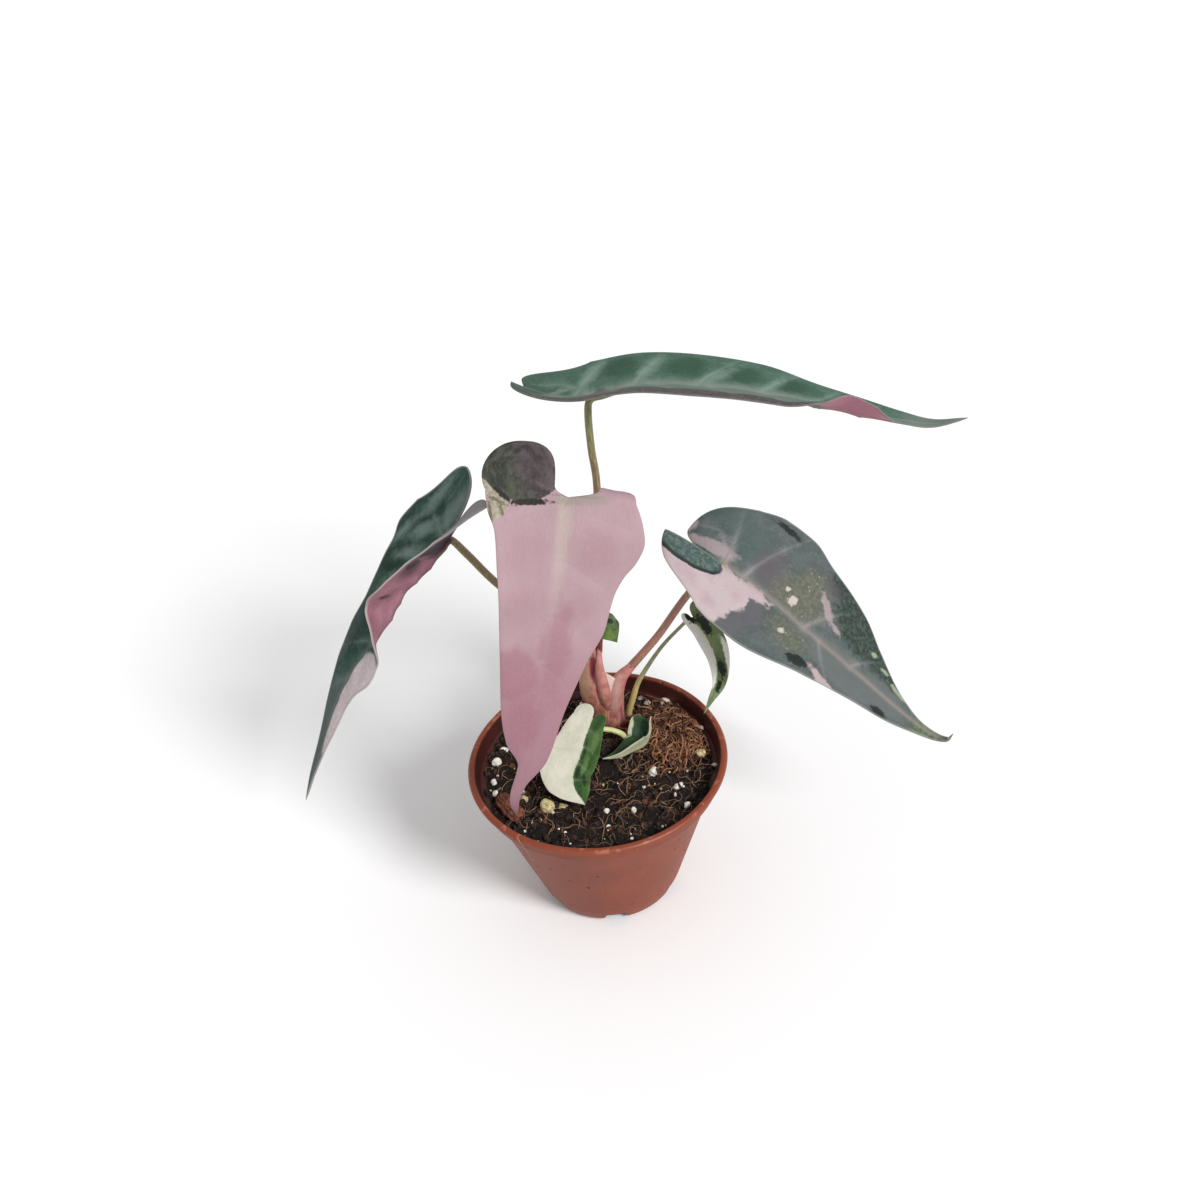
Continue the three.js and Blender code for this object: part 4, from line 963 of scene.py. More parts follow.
def vein_lines(leaf, side):
    """The side veins of a half, flat: each leaves the midrib at its start and bends towards its end at the
    margin, where it fades, and one runs down the lobe. Each is an array of places (across, along), its
    widths and its strengths."""
    half = leaf["right"] if side > 0 else leaf["left"]
    lobe = {**LOBE, **half["lobe"]}
    length = path_at(leaf["midrib"], np.zeros(1))[2]
    t = np.linspace(0, 1, 90)
    lines = []
    for start, end in half["veins"]:
        share = end / (length if end > 0 else lobe["length"])
        reach = widths_at(half, np.array([share]))[1][0] * 0.95
        line = np.column_stack([side * reach * t, start + (end - start) * t ** 1.4])
        lines.append((line, 0.5 * (1 - 0.6 * t), 1 - 0.75 * t))
    if lobe["length"] > 6:
        back = 0.85 * t
        inner, outer = widths_at(half, -back)
        middle = (inner + outer) / 2 * np.clip(back / 0.4, 0, 1) ** 0.8
        lines.append(
            (np.column_stack([side * middle, -back * lobe["length"]]), 0.35 * (1 - 0.6 * t), 1 - 0.8 * t)
        )
    return lines


def vein_fields(leaf, across, along):
    """For places on the flat leaf: how near a side vein they are, sharply and softly, from 0 to 1."""
    sharp = np.zeros(len(across))
    soft = np.zeros(len(across))
    for side in (1, -1):
        for line, width, strength in vein_lines(leaf, side):
            squared = (across[:, None] - line[None, :, 0]) ** 2 + (along[:, None] - line[None, :, 1]) ** 2
            nearest = squared.argmin(axis=1)
            gap = squared[np.arange(len(across)), nearest]
            wide = width[nearest]
            strong = strength[nearest]
            sharp = np.maximum(sharp, np.exp(-gap / wide ** 2) * (0.45 + wide) * strong)
            soft = np.maximum(soft, np.exp(-gap / (1.4 + 2.4 * wide) ** 2) * (0.3 + 0.7 * strong))
    return sharp, soft


def patch_field(ovals, across, along):
    """Millimetres inside the nearest of the ovals (across, along, half width, half length, turn), else less
    than 0."""
    best = np.full(len(across), -50.0)
    for u0, v0, half_u, half_v, turn in ovals:
        c, s = np.cos(np.radians(turn)), np.sin(np.radians(turn))
        u = (across - u0) * c + (along - v0) * s
        v = (along - v0) * c - (across - u0) * s
        best = np.maximum(best, (1 - np.hypot(u / half_u, v / half_v)) * min(half_u, half_v))
    return best


def blade_piece(leaf, material):
    """The whole blade: both halves joined at the midrib, thin at the margins, with side veins sunk in its
    face, the blade swelling between them, and the midrib raised on its back."""
    length = path_at(leaf["midrib"], np.zeros(1))[2]
    step = leaf.get("step", BLADE_STEP)
    columns = leaf.get("columns", BLADE_COLUMNS)
    across = np.sin(np.linspace(0, np.pi / 2, columns)) ** 0.9
    sheets = []
    fields = []
    triangles = []
    count = 0
    for side in (1, -1):
        half = leaf["right"] if side > 0 else leaf["left"]
        lobe_rows = max(8, int(half["lobe"]["length"] / step * 1.4))
        lobe_shares = -np.cos(np.linspace(0, np.pi / 2, lobe_rows, endpoint=False))
        shares = np.concatenate([lobe_shares, np.linspace(0, 1, int(length / step))])
        points, u, v, margin = blade_half(leaf, side, shares, across)
        rib = np.repeat(shares[:, None], columns, axis=1)
        sheets.append(points.reshape(-1, 3))
        fields.append(np.stack([u, v, margin, rib], axis=-1).reshape(-1, 4))
        faces = sheet_triangles(len(shares), columns) + count
        triangles.append(faces[:, ::-1] if side > 0 else faces)
        count += points.shape[0] * columns
    points = np.vstack(sheets)
    data = np.vstack(fields)
    kept, triangles = weld(points, np.vstack(triangles))
    points = points[kept]
    u, v, margin, shares = data[kept].T
    sharp, soft = vein_fields(leaf, u, v)
    ahead = np.clip(shares, 0, 1)
    rib_width = 0.45 + 0.55 * (1 - ahead)
    rib = np.exp(-(u / rib_width) ** 2) * np.where(shares < 0, np.exp(-(v / 1.2) ** 2), 1)
    scale = leaf.get("relief", 1.0)
    thick = BLADE_THICKNESS * (0.3 + 0.7 * np.clip(margin / 0.8, 0, 1) ** 0.6) / 2
    room = np.clip(margin / 2.5, 0, 1)
    swell = scale * (0.32 * (1 - soft) - 0.1) * room
    above = thick + swell - scale * (0.1 * sharp + 0.3 * rib * (1 - ahead)) * room
    below = thick - swell + scale * (0.16 * sharp + (0.75 * (1 - ahead) ** 0.7 + 0.12) * rib) * room
    points, shell = thickened(points, triangles, above, below)
    twice = {
        "plan": np.column_stack([u, v, margin]), "vein": sharp, "soft": soft, "rib": rib, "ahead": ahead,
        **{name: patch_field(ovals, u, v) for name, ovals in leaf["patches"].items()},
    }
    carried = {name: np.concatenate([values, values]) for name, values in twice.items()}
    carried["under"] = np.repeat([0.0, 1.0], len(u))
    return piece(
        "leaf_" + leaf["name"], points, outwards(points, shell), material, carried, "blade_" + leaf["name"],
    )


class Leaf(Finish):
    """A blade's material: the upper and the under face are painted apart, then the rest is shared."""

    def __init__(self, name):
        super().__init__(name)
        self.plan = self.vector_field("plan")
        self.margin = self.node("ShaderNodeSeparateXYZ", {}, {0: self.plan}, "Z")
        self.flecks = self.noise(self.plan, 1.1, 5.0, 0.62)
        self.clouds = self.noise(self.plan, 6.0, 4.0, 0.55)

    def patch(self, name, soft=0.35, warp=2.0, size=2.4):
        """A mask of a named patch whose border wanders by warp millimetres in waves of that size."""
        wander = (self.noise(self.plan, size, 4.0, 0.6) - 0.5) * (2 * warp)
        return (self.field(name) + wander).smooth_step(-soft, soft)

    def quilted(self, deep, middle, pale, line):
        """Deep fields between the side veins, paling unevenly towards each vein, and a thin line on it."""
        fields = self.mix(self.clouds.smooth_step(0.35, 0.65), deep, middle)
        fields = self.mix(self.flecks.smooth_step(0.45, 0.75) * 0.42, fields, pale)
        dots = self.noise(self.plan, 0.45, 2.0).smooth_step(0.5, 0.62)
        fields = self.mix(dots * 0.45, fields, deep)
        near = self.field("soft") * 0.95 + (self.clouds - 0.5) * 0.9 + (self.flecks - 0.5) * 0.5
        fields = self.mix(near.smooth_step(0.3, 1.05) * 0.8, fields, pale)
        return self.mix(self.field("vein") * self.clouds.smooth_step(0.25, 0.5) * 0.8, fields, line)

    def leaf_finished(self, upper, under, roughness, sheen=0.15, coat=0.0):
        """Mixes the two faces, and adds the net of small veins and the skin's grain as a bump."""
        back = self.field("under").smooth_step(0.4, 0.6)
        net = self.cells(self.stretched(self.plan, 1, 0.8, 1), 1.7, "DISTANCE_TO_EDGE").smooth_step(0.0, 0.16)
        grain = self.noise(self.place(), 0.22, 2.0)
        base = self.mix(back, upper, under)
        height = net * 0.35 + grain * 0.3 + self.flecks * 0.2
        rough = roughness + (self.clouds - 0.5) * 0.12
        return self.finished(
            base, rough, height, 0.09, specular_ior_level=0.25, subsurface_weight=0.0, sheen_weight=sheen,
            sheen_roughness=0.4, coat_weight=coat, coat_roughness=0.25,
        )


def stalk_finish(name, lower, upper, tint, start=0.3, end=0.8):
    """A smooth stalk: its colour changes along it, with fine stripes and short blotches of the tint."""
    finish = Finish(name)
    place = finish.place()
    share = finish.field("share")
    stripes = finish.noise(finish.stretched(place, 1, 1, 0.1), 0.3, 2.0)
    blotches = finish.noise(finish.stretched(place, 1, 1, 0.5), 1.2, 3.0)
    base = finish.mix((share + (blotches - 0.5) * 0.3).smooth_step(start, end), lower, upper)
    base = finish.mix(blotches.smooth_step(0.52, 0.66) * 0.55, base, tint)
    base = finish.mix(stripes.smooth_step(0.5, 0.7) * 0.25, base, colour(214, 204, 176))
    return finish.finished(base, 0.4, stripes, 0.05, specular_ior_level=0.5, subsurface_weight=0.05)


def stalk_piece(leaf, material):
    """The leaf's stalk: a tube along its route to the sinus, which goes on under the midrib and thins out."""
    end = leaf["stalk"][-1][3]
    distances = np.array(leaf.get("stalk_end", (3.0, 8.0)))
    length = path_at(leaf["midrib"], np.zeros(1))[2]
    place, _, _, up = midrib_frame(leaf, distances / length)
    radii = end * np.array([0.75, 0.4])
    under = place - up * (BLADE_THICKNESS / 2 + 0.9 * radii)[:, None]
    route = np.vstack([leaf["stalk"], np.column_stack([under, radii])])
    middle, ring, radius, share, angle = stalk(route, STALK_SIDES, 0.5, TOWARDS_CAMERA)
    points, faces = closed_tube(
        middle[:, None] + ring * (radius[:, None] * (1 + 0.02 * np.cos(3 * angle)))[..., None]
    )
    fields = {"share": with_ends(np.repeat(share[:, None], STALK_SIDES, axis=1))}
    return piece("stalk_" + leaf["name"], points, faces, material, fields, "petiole_" + leaf["name"])


PINK = {
    "name": "pink",
    "midrib": [
        (0.9, -6, 132.7), (-1.2, -12, 125), (-4, -15.5, 115), (-8, -18, 101), (-12, -20, 84.5),
        (-16.5, -21, 67), (-21.5, -20.5, 53.5), (-22.5, -18, 44),
    ],
    "face": [(0, 0, -0.85, 0.57), (0.3, 0.39, -0.9, 0.35), (1, 0.1, -0.95, 0.2)],
    "right": {
        "width": 19.2,
        "outline": [
            (0, 1), (0.05, 0.945), (0.1, 0.84), (0.2, 0.757), (0.4, 0.586), (0.6, 0.45), (0.7, 0.324),
            (0.78, 0.108), (0.9, 0.072), (1, 0),
        ],
        "fold": [(0, -9)],
        "curl": [(-1, 5), (0, 18), (1, 0)],
        "lobe": {
            "length": 11.5, "turn": -27, "root": 0.45, "splay": 2, "blunt": 2.7, "slit": 5, "gap": 3,
            "flare": 1.2,
        },
        "veins": [(2, 8), (13, 22), (27, 37), (41, 49)],
    },
    "left": {
        "width": 15.8,
        "outline": [
            (0, 1), (0.05, 1.14), (0.1, 1.22), (0.15, 1.165), (0.2, 1.025), (0.25, 0.955), (0.3, 0.94),
            (0.35, 0.925), (0.45, 0.7), (0.6, 0.44), (0.75, 0.3), (0.85, 0.1), (0.95, 0.06), (1, 0),
        ],
        "fold": [(-1, -28), (0, 4), (1, 5)],
        "curl": [(-1, 27), (0, -13), (1, 0)],
        "lobe": {"length": 10.8, "turn": 165, "root": 0.6, "splay": 0, "blunt": 1.5, "gap": 6.5},
        "veins": [(3, 7), (15, 24), (29, 39), (43, 51)],
    },
    "patches": {
        "dark lobe": [(11, -8.5, 10.5, 10.6, 0), (12, -9, 12, 9, 0)],
        "purple": [(6, -9, 7.5, 12, 20)],
        # The crease ovals are painted shadow: the thin black lines along the dark lobe's edge.
        "crease": [(8.4, 1.9, 4.8, 0.75, 6), (14.8, 1.2, 3.2, 0.6, -34)],
        "cream corner": [(18.2, 2.8, 4.6, 5.6, -30)],
        # Thin dark lines on the cream corner: painted shade in its creases.
        "shaded creases": [(16.2, 2.4, 2.6, 0.4, -20), (15.0, 4.4, 0.4, 2.2, 24), (17.6, 5.0, 0.35, 2.4, 14)],
        "pale band": [(0.3, 4, 1.7, 24, 0)],
        "green tinge": [(-2.5, 0.4, 6, 1.3, 6)],
        "rosy blotch": [(8, 45, 7, 7.5, 10), (3, 60, 4, 9, 0), (-2, 38, 4, 12, 0)],
        "rosy fields": [(8, 14, 5, 6, 20), (-8, 12, 5, 6, -20), (7, 28, 5, 5, 20), (-6, 27, 4, 5, -20)],
    },
    "stalk": [
        (0.9, 16.2, 66.5, 1.15), (0.5, 15.8, 80, 1.15), (1, 14.6, 96, 1.1), (2, 11.2, 111, 1),
        (2.4, 5.5, 120.5, 1), (1.8, -0.5, 126, 0.95), (0.4, -6.7, 130.2, 0.9),
    ],
}

finish = Leaf("pink leaf")
along = finish.node("ShaderNodeSeparateXYZ", {}, {0: finish.plan}, "Y")
upper = finish.mix(along.smooth_step(30, 54), colour(166, 138, 144), colour(154, 114, 124))
upper = finish.mix(finish.clouds.smooth_step(0.35, 0.7) * 0.3, upper, colour(156, 124, 132))
upper = finish.mix(finish.patch("rosy fields", 2.4, 2.0, 5.0) * 0.4, upper, colour(152, 116, 125))
upper = finish.mix(finish.patch("rosy blotch", 1.6, 2.2, 5.0) * 0.6, upper, colour(146, 100, 113))
upper = finish.mix(finish.flecks.smooth_step(0.5, 0.78) * 0.16, upper, colour(174, 154, 156))
upper = finish.mix(finish.field("soft") * along.smooth_step(60, 20) * 0.16, upper, colour(172, 156, 156))
band = finish.patch("pale band", 0.8, 0.8, 5.0) * along.smooth_step(28, 14)
upper = finish.mix(band * 0.6, upper, colour(172, 158, 150))
upper = finish.mix(finish.field("rib") * along.smooth_step(64, 12) * 0.35, upper, colour(174, 154, 152))
upper = finish.mix(finish.patch("green tinge", 0.5, 1.0) * 0.6, upper, colour(138, 134, 120))
dark = finish.patch("dark lobe", 0.15, 0.35, 1.6)
violet = finish.patch("purple", 2.0, 3.0, 4.0)
lobe = finish.mix(
    finish.noise(finish.plan, 3.0, 4.0).smooth_step(0.38, 0.62), colour(40, 45, 36), colour(70, 72, 61),
)
bruise = finish.mix(
    finish.noise(finish.plan, 3.6, 4.0).smooth_step(0.36, 0.62), colour(56, 46, 49), colour(84, 73, 76),
)
lobe = finish.mix(violet * 0.9, lobe, bruise)
lobe = finish.mix(finish.flecks.smooth_step(0.5, 0.72) * 0.4, lobe, colour(100, 92, 92))
lobe = finish.mix(finish.field("vein") * 0.5, lobe, colour(112, 103, 102))
upper = finish.mix(dark, upper, lobe)
cream = finish.mix(finish.flecks.smooth_step(0.35, 0.65), colour(136, 127, 110), colour(168, 160, 144))
corner = finish.patch("cream corner", 0.25, 0.8, 1.6) * (1 - dark)
upper = finish.mix(corner, upper, cream)
# Brownish lines in the cream corner's creases: painted shade.
upper = finish.mix(finish.patch("shaded creases", 0.15, 0.5, 1.2) * 0.8, upper, colour(92, 82, 66))
# Near-black lines along the dark lobe's edge: painted shadow.
upper = finish.mix(finish.patch("crease", 0.15, 0.6, 1.2), upper, colour(34, 33, 29))
under = finish.mix(finish.clouds.smooth_step(0.3, 0.7), colour(150, 112, 120), colour(168, 134, 140))
under = finish.mix(finish.field("rib") * 0.6, under, colour(168, 150, 128))
under = finish.mix(dark, under, colour(84, 68, 74))
blade_piece(PINK, finish.leaf_finished(upper, under, 0.62, 0.05))
stalk_piece(
    PINK,
    stalk_finish("pink leaf's stalk", colour(140, 96, 84), colour(152, 124, 96), colour(120, 116, 72)),
)


# Left leaf
# A large dark leaf that droops to the left, its near half turned up so that its pink underside shows.

LEFT = {
    "name": "left",
    "midrib": [
        (-29.5, 8, 115.5), (-36, 6, 109), (-42.5, 4, 104), (-48, 2, 96.5), (-53.5, 0.5, 90), (-59, -1, 83.5),
        (-64, -2.5, 75.5), (-69, -5, 65.5), (-77, -8, 49),
    ],
    "face": [(0, -0.6, -0.3, 0.6), (0.5, -0.7, -0.3, 0.6), (1, -0.7, -0.3, 0.5)],
    "right": {
        "width": 16.5,
        "outline": [
            (0, 1), (0.08, 1.06), (0.16, 0.87), (0.24, 0.72), (0.32, 0.7), (0.4, 0.67), (0.5, 0.52),
            (0.6, 0.36), (0.7, 0.24), (0.8, 0.17), (0.9, 0.12), (0.96, 0.06), (1, 0),
        ],
        "fold": [(0, 7)],
        "curl": [(0, 0)],
        "lobe": {
            "length": 17.2, "turn": -22, "root": 0.3, "splay": 2.6, "blunt": 1.6, "slit": 5, "flare": -1.8,
        },
        "veins": [(1, -3), (9, 14), (21, 29), (34, 42), (46, 53)],
    },
    "left": {
        "width": 11.3,
        "outline": [
            (0, 1), (0.1, 1.2), (0.2, 1.15), (0.28, 0.75), (0.35, 0.65), (0.41, 0.79), (0.47, 0.88),
            (0.55, 0.62), (0.65, 0.4), (0.75, 0.36), (0.86, 0.26), (0.95, 0.07), (1, 0),
        ],
        "fold": [
            (-1, 25), (0, 50), (0.1, 58), (0.2, 60), (0.28, 80), (0.35, 44), (0.41, 8), (0.47, 5), (0.55, 6),
            (0.65, 0), (0.8, 18), (1, 30),
        ],
        "curl": [(0, 0)],
        "lobe": {
            "length": 19, "turn": -13, "root": 0.75, "splay": 25, "blunt": 1.8, "slit": 3.2, "flare": -2,
            "gap": -2.5,
        },
        "veins": [(3, 7), (14, 20), (26, 33), (38, 45)],
    },
    "patches": {
        "pale bulge": [(-6, 45, 6.4, 11, 0), (-3, 44, 4, 8.5, 0), (-3, 58, 2.6, 9, 0)],
        "dark spots": [
            (-8, -3, 7, 8, 0), (-9.5, 8.5, 2.6, 2.2, 20), (-6, 19.5, 1.4, 1.1, 0), (-3, 0, 2.4, 6, 0),
        ],
        "plum": [(-4, -1, 6, 8, 0), (-11, 3, 4, 4, 0), (-8, 10, 4, 4, 0)],
        "grey end": [(0, 66, 7, 22, 0), (9, 44, 2, 12, 0)],
        "lobe strip": [(-11, -12, 12, 13, 0)],
        "silver": [
            (8, 3.5, 1.6, 4.6, -30), (7, 10.5, 1.5, 4, -36), (10.5, -5, 1.3, 7, -10),
            (4.5, 17, 1.4, 4.5, -30), (13.5, 8, 1, 5, -10), (3, -7, 2, 7, -8),
        ],
        "deep": [(12, 3, 2.2, 4.6, -15), (9.5, 15, 3.2, 4, -20), (14, -9, 1.8, 4.5, 0), (5, 27, 4, 6, -15)],
    },
    "stalk": [
        (-0.3, 18.5, 67, 1.15), (-3.2, 17.8, 74, 1.1), (-12, 15.2, 84.5, 1.05), (-20.4, 13, 97, 1),
        (-25.8, 11, 107.6, 1), (-29.2, 8.6, 114.6, 0.9),
    ],
}

finish = Leaf("left leaf")
across = finish.node("ShaderNodeSeparateXYZ", {}, {0: finish.plan}, "X")
upper = finish.quilted(colour(22, 52, 41), colour(40, 72, 61), colour(82, 104, 98), colour(118, 136, 130))
upper = finish.mix(finish.patch("deep", 0.9, 1.6) * 0.85, upper, colour(18, 44, 33))
upper = finish.mix(finish.patch("grey end", 2.0, 2.0) * 0.6, upper, colour(84, 92, 94))
upper = finish.mix(finish.patch("silver", 1.5, 1.4, 1.8) * 0.7, upper, colour(122, 140, 134))
upper = finish.mix(finish.field("rib") * 0.4, upper, colour(118, 124, 118))
pale = finish.patch("pale bulge", 0.4, 0.6) * across.smooth_step(-0.2, -0.8)
bulge = finish.mix(finish.flecks.smooth_step(0.35, 0.7), colour(190, 173, 176), colour(204, 192, 194))
upper = finish.mix(pale, upper, bulge)
edge = finish.margin.smooth_step(0.8, 0.3)
upper = finish.mix(edge * 0.75, upper, colour(158, 156, 152))
strip = finish.patch("lobe strip", 0.8, 1.2)
upper = finish.mix(strip * 0.8, upper, colour(146, 140, 142))
under = finish.mix(finish.clouds.smooth_step(0.3, 0.7), colour(130, 84, 99), colour(150, 106, 117))
under = finish.mix(finish.flecks.smooth_step(0.5, 0.75) * 0.3, under, colour(164, 130, 136))
under = finish.mix(finish.patch("plum", 2.5, 2.5, 3.0) * 0.85, under, colour(74, 50, 60))
under = finish.mix(finish.patch("dark spots", 0.5, 1.6, 2.0) * 0.85, under, colour(36, 28, 33))
under = finish.mix(pale, under, bulge)
under = finish.mix(strip * 0.7, under, colour(124, 112, 116))
under = finish.mix(edge * 0.8, under, colour(166, 154, 152))
blade_piece(LEFT, finish.leaf_finished(upper, under, 0.62, 0.02))
stalk_piece(
    LEFT,
    stalk_finish(
        "left leaf's stalk", colour(132, 98, 78), colour(112, 104, 66), colour(86, 88, 48), 0.1, 0.5,
    ),
)


# Top leaf
# The longest leaf, which stretches to the right over all the others. Its near edge curls up and shows a
# pink patch of the underside.

TOP = {
    "name": "top",
    "midrib": [
        (9, 22, 142.5), (21, 21, 144), (35, 19, 143), (49, 17, 140.5), (65, 14, 136.5), (81, 11, 132),
        (89, 9, 131), (96.5, 7, 133.5),
    ],
    "face": [(0, 0, 0.2, 1)],
    "right": {
        "width": 17.5,
        "outline": [
            (0, 1), (0.1, 1.04), (0.2, 1.08), (0.3, 0.99), (0.4, 0.84), (0.6, 0.6), (0.75, 0.4), (0.88, 0.2),
            (0.95, 0.1), (1, 0),
        ],
        "fold": [(-1, 13), (0, 15), (0.5, 10), (0.6, 22), (0.67, 42), (0.73, 38), (0.8, 18), (1, 15)],
        "curl": [(0, 0)],
        "lobe": {
            "length": 19.9, "turn": -37, "root": 0.14, "splay": -20, "blunt": 4, "slit": 3.3, "flare": -3,
        },
        "veins": [(4, 10), (16, 24), (29, 38), (42, 50), (55, 61)],
    },
    "left": {
        "width": 13.3,
        "outline": [
            (0, 1), (0.12, 0.99), (0.25, 0.97), (0.35, 0.93), (0.45, 0.86), (0.6, 0.58), (0.75, 0.42),
            (0.88, 0.24), (0.95, 0.12), (1, 0),
        ],
        "fold": [(0, 19)],
        "curl": [(0, 0)],
        "lobe": {"length": 17.1, "turn": 13, "root": 0.69, "splay": 17, "slit": 4, "flare": -2.7, "gap": -2},
        "veins": [(-4, 4.5), (10.5, 18), (25.5, 36), (41, 49.5), (54, 61), (65, 71)],
    },
    "patches": {
        "pink patch": [(6, 64, 8.5, 9.5, 0)],
        "grey band": [(3.2, 26, 5.2, 50, 0), (1, -6, 2.4, 12, 6)],
        "plum edge": [(15.5, 14, 6, 34, 0), (11.5, 40, 4.2, 12, 8), (2, 2, 3.0, 2.4, 0), (11, -12, 3, 9, 0)],
        "grey tip": [(0, 86, 5, 11, 0)],
        "deep": [
            (-8, 7.5, 3.8, 4.0, 10), (-7, 23, 3.8, 5.0, 10), (-5.8, 36.5, 3.4, 4.4, 10),
            (-4, 48.5, 2.8, 3.8, 10),
        ],
        "silver": [
            (-7.4, 0.2, 1.7, 4.6, 59), (-5.8, 13.9, 1.4, 4.6, 65), (-4.2, 30.5, 1.2, 5.5, 41),
            (-4, 44, 0.9, 4, 50),
        ],
        "lobe rim": [(-2.5, -13, 1.3, 8, 12)],
        "lobe tip": [(3, -17, 5, 6, 0)],
    },
    "stalk": [
        (2.4, 19.6, 66.8, 1.15), (3.6, 19.8, 80, 1.1), (5.7, 19.5, 96, 1), (7.9, 20, 117, 0.95),
        (7.6, 20.8, 128, 0.95), (7.7, 21.5, 137, 0.95), (8.6, 21.9, 141.2, 0.9),
    ],
}

finish = Leaf("top leaf")
upper = finish.quilted(colour(60, 90, 75), colour(74, 102, 87), colour(102, 122, 111), colour(134, 152, 141))
upper = finish.mix(finish.patch("deep", 1.6, 1.6, 2.6) * 0.75, upper, colour(40, 70, 54))
upper = finish.mix(finish.patch("silver", 1.3, 1.2, 1.8) * 0.6, upper, colour(126, 146, 136))
band = finish.patch("grey band", 1.4, 1.2)
upper = finish.mix(band * 0.75, upper, colour(112, 125, 117))
upper = finish.mix(finish.patch("grey tip", 1.5, 1.5) * 0.7, upper, colour(116, 122, 118))
upper = finish.mix(finish.patch("lobe rim", 0.4, 0.8) * 0.7, upper, colour(126, 138, 130))
upper = finish.mix(finish.field("rib") * 0.5, upper, colour(136, 146, 138))
plum = finish.patch("plum edge", 1.0, 2.4, 3.0)
violet = finish.mix(finish.flecks.smooth_step(0.4, 0.65), colour(56, 40, 47), colour(94, 78, 84))
upper = finish.mix(plum * 0.92, upper, violet)
upper = finish.mix(finish.patch("lobe tip", 1.5, 1.6) * 0.75, upper, colour(32, 50, 40))
edge = finish.margin.smooth_step(0.7, 0.25)
upper = finish.mix(edge * 0.35, upper, colour(120, 130, 122))
under = finish.mix(finish.clouds.smooth_step(0.3, 0.7), colour(98, 92, 94), colour(122, 112, 114))
under = finish.mix(finish.patch("pink patch", 0.6, 1.0), under, colour(164, 108, 124))
under = finish.mix(finish.field("rib") * 0.5, under, colour(136, 126, 104))
under = finish.mix(edge * 0.5, under, colour(128, 116, 114))
blade_piece(TOP, finish.leaf_finished(upper, under, 0.62, 0.02))
stalk_piece(
    TOP,
    stalk_finish(
        "top leaf's stalk", colour(112, 82, 60), colour(114, 122, 74), colour(94, 96, 56), 0.55, 0.85,
    ),
)


# Right leaf
# A large leaf that hangs out to the right and faces the viewer, grey-green with olive and dark green fields
# and a pinkish white sector. The inner part of its near lobe stands up.

RIGHT = {
    "name": "right",
    "midrib": [
        (38, 16, 92.5), (47, 12, 85), (56.5, 8, 75.5), (68.5, 3, 63.5), (79.5, -2, 52.5), (87, -6, 46.5),
        (91.5, -9, 45.5), (93, -11, 49),
    ],
    "face": [(0, 0.2, -0.6, 0.77), (0.5, 0.3, -0.6, 0.7), (1, 0.2, -0.6, 0.7)],
    "right": {
        "width": 14.7,
        "outline": [
            (0, 1), (0.06, 1.07), (0.15, 1.1), (0.4, 0.76), (0.6, 0.5), (0.75, 0.33), (0.87, 0.14),
            (0.95, 0.05), (1, 0),
        ],
        "fold": [(-1, 20), (0, 6)],
        "curl": [(0, 0)],
        "lobe": {
            "length": 16.4, "turn": 20, "root": 0.1, "splay": 3.9, "blunt": 1.9, "slit": 1.3, "flare": -1.8,
            "lift": 5, "crease": 0.6,
        },
        "veins": [(33, 41)],
    },
    "left": {
        "width": 17.3,
        "outline": [
            (0, 1), (0.1, 1.15), (0.2, 1.17), (0.3, 1.05), (0.4, 0.94), (0.5, 0.78), (0.6, 0.52),
            (0.75, 0.2), (0.85, 0.08), (0.95, 0.04), (1, 0),
        ],
        "fold": [(0, 5)],
        "curl": [(0, 0)],
        "lobe": {
            "length": 12.3, "turn": 25, "root": 0.22, "splay": -6.5, "blunt": 2, "slit": 1.3, "flare": -1,
            "gap": -1.6,
        },
        "veins": [(0.5, -3), (6.5, 15), (27.5, 38), (44, 51)],
    },
    "patches": {
        "white sector": [(10, -4.5, 8.5, 12.5, 0), (5.5, 3, 5, 8, -8), (2.2, 9, 2.0, 7, 6)],
        "clouded end": [(13.5, 8, 4.5, 5.5, 30), (7, 12.5, 3.6, 4.2, 20)],
        "pink lobe edge": [(-1.8, -5, 1.9, 7.5, 10), (-4.5, -12.5, 2.4, 1.6, 0)],
        "stood shade": [(3.5, -8.2, 3.5, 9.2, 8)],
        "stood green": [(2.9, -8.2, 3.1, 8.6, 8)],
        "olive": [(-5.5, 21.5, 5.5, 8, 12), (-10, 23, 3.6, 5, 0), (5, 25, 3.4, 6.5, 0)],
        "purple": [(-6.5, 10.5, 5, 4, 0), (-13.5, 27.5, 1.6, 3.6, -20), (-3, 15.5, 3, 2.6, 0)],
        "dark green": [(-10, 41, 5.8, 11, -18), (-14.5, 32, 3.0, 7, -10), (-5.5, 53, 3, 8, -8)],
        "teal": [(-9, 4, 5.2, 5.4, 0), (-12, -4, 4.6, 6, 0)],
        "blotches": [(-3.6, 20.6, 1.5, 1.3, 0), (-5.2, 17.8, 0.7, 0.7, 0), (5.2, 22.4, 0.6, 1.0, 20)],
        "streak": [(-8.2, 29.6, 1.1, 4.4, -36), (-5.4, 34.5, 0.7, 1.8, -20)],
        "spots": [(8.9, 30.0, 1.4, 3.3, 14), (-17.8, 9.5, 0.8, 3.8, 0), (4.8, 57, 1.2, 2.6, 0)],
        "pale margin": [(9.6, 41.5, 1.3, 8.5, -14)],
        "grey band": [(2.5, 42, 4.6, 14, -6), (1, 55, 4, 9, 0)],
        "tip flecks": [(-3.4, 58.5, 0.5, 3.0, -12), (-5.4, 52.5, 0.5, 1.3, 0), (-7, 47.5, 0.6, 1.1, 0)],
        "yellow tip": [(0, 76, 6, 10, 0)],
    },
    "stalk": [
        (11.9, 16.5, 61.2, 1.2), (16, 16.5, 66, 1.1), (20.4, 16.5, 71.5, 1.05), (29, 16.9, 83.6, 1),
        (37, 16.3, 91.2, 0.9),
    ],
}

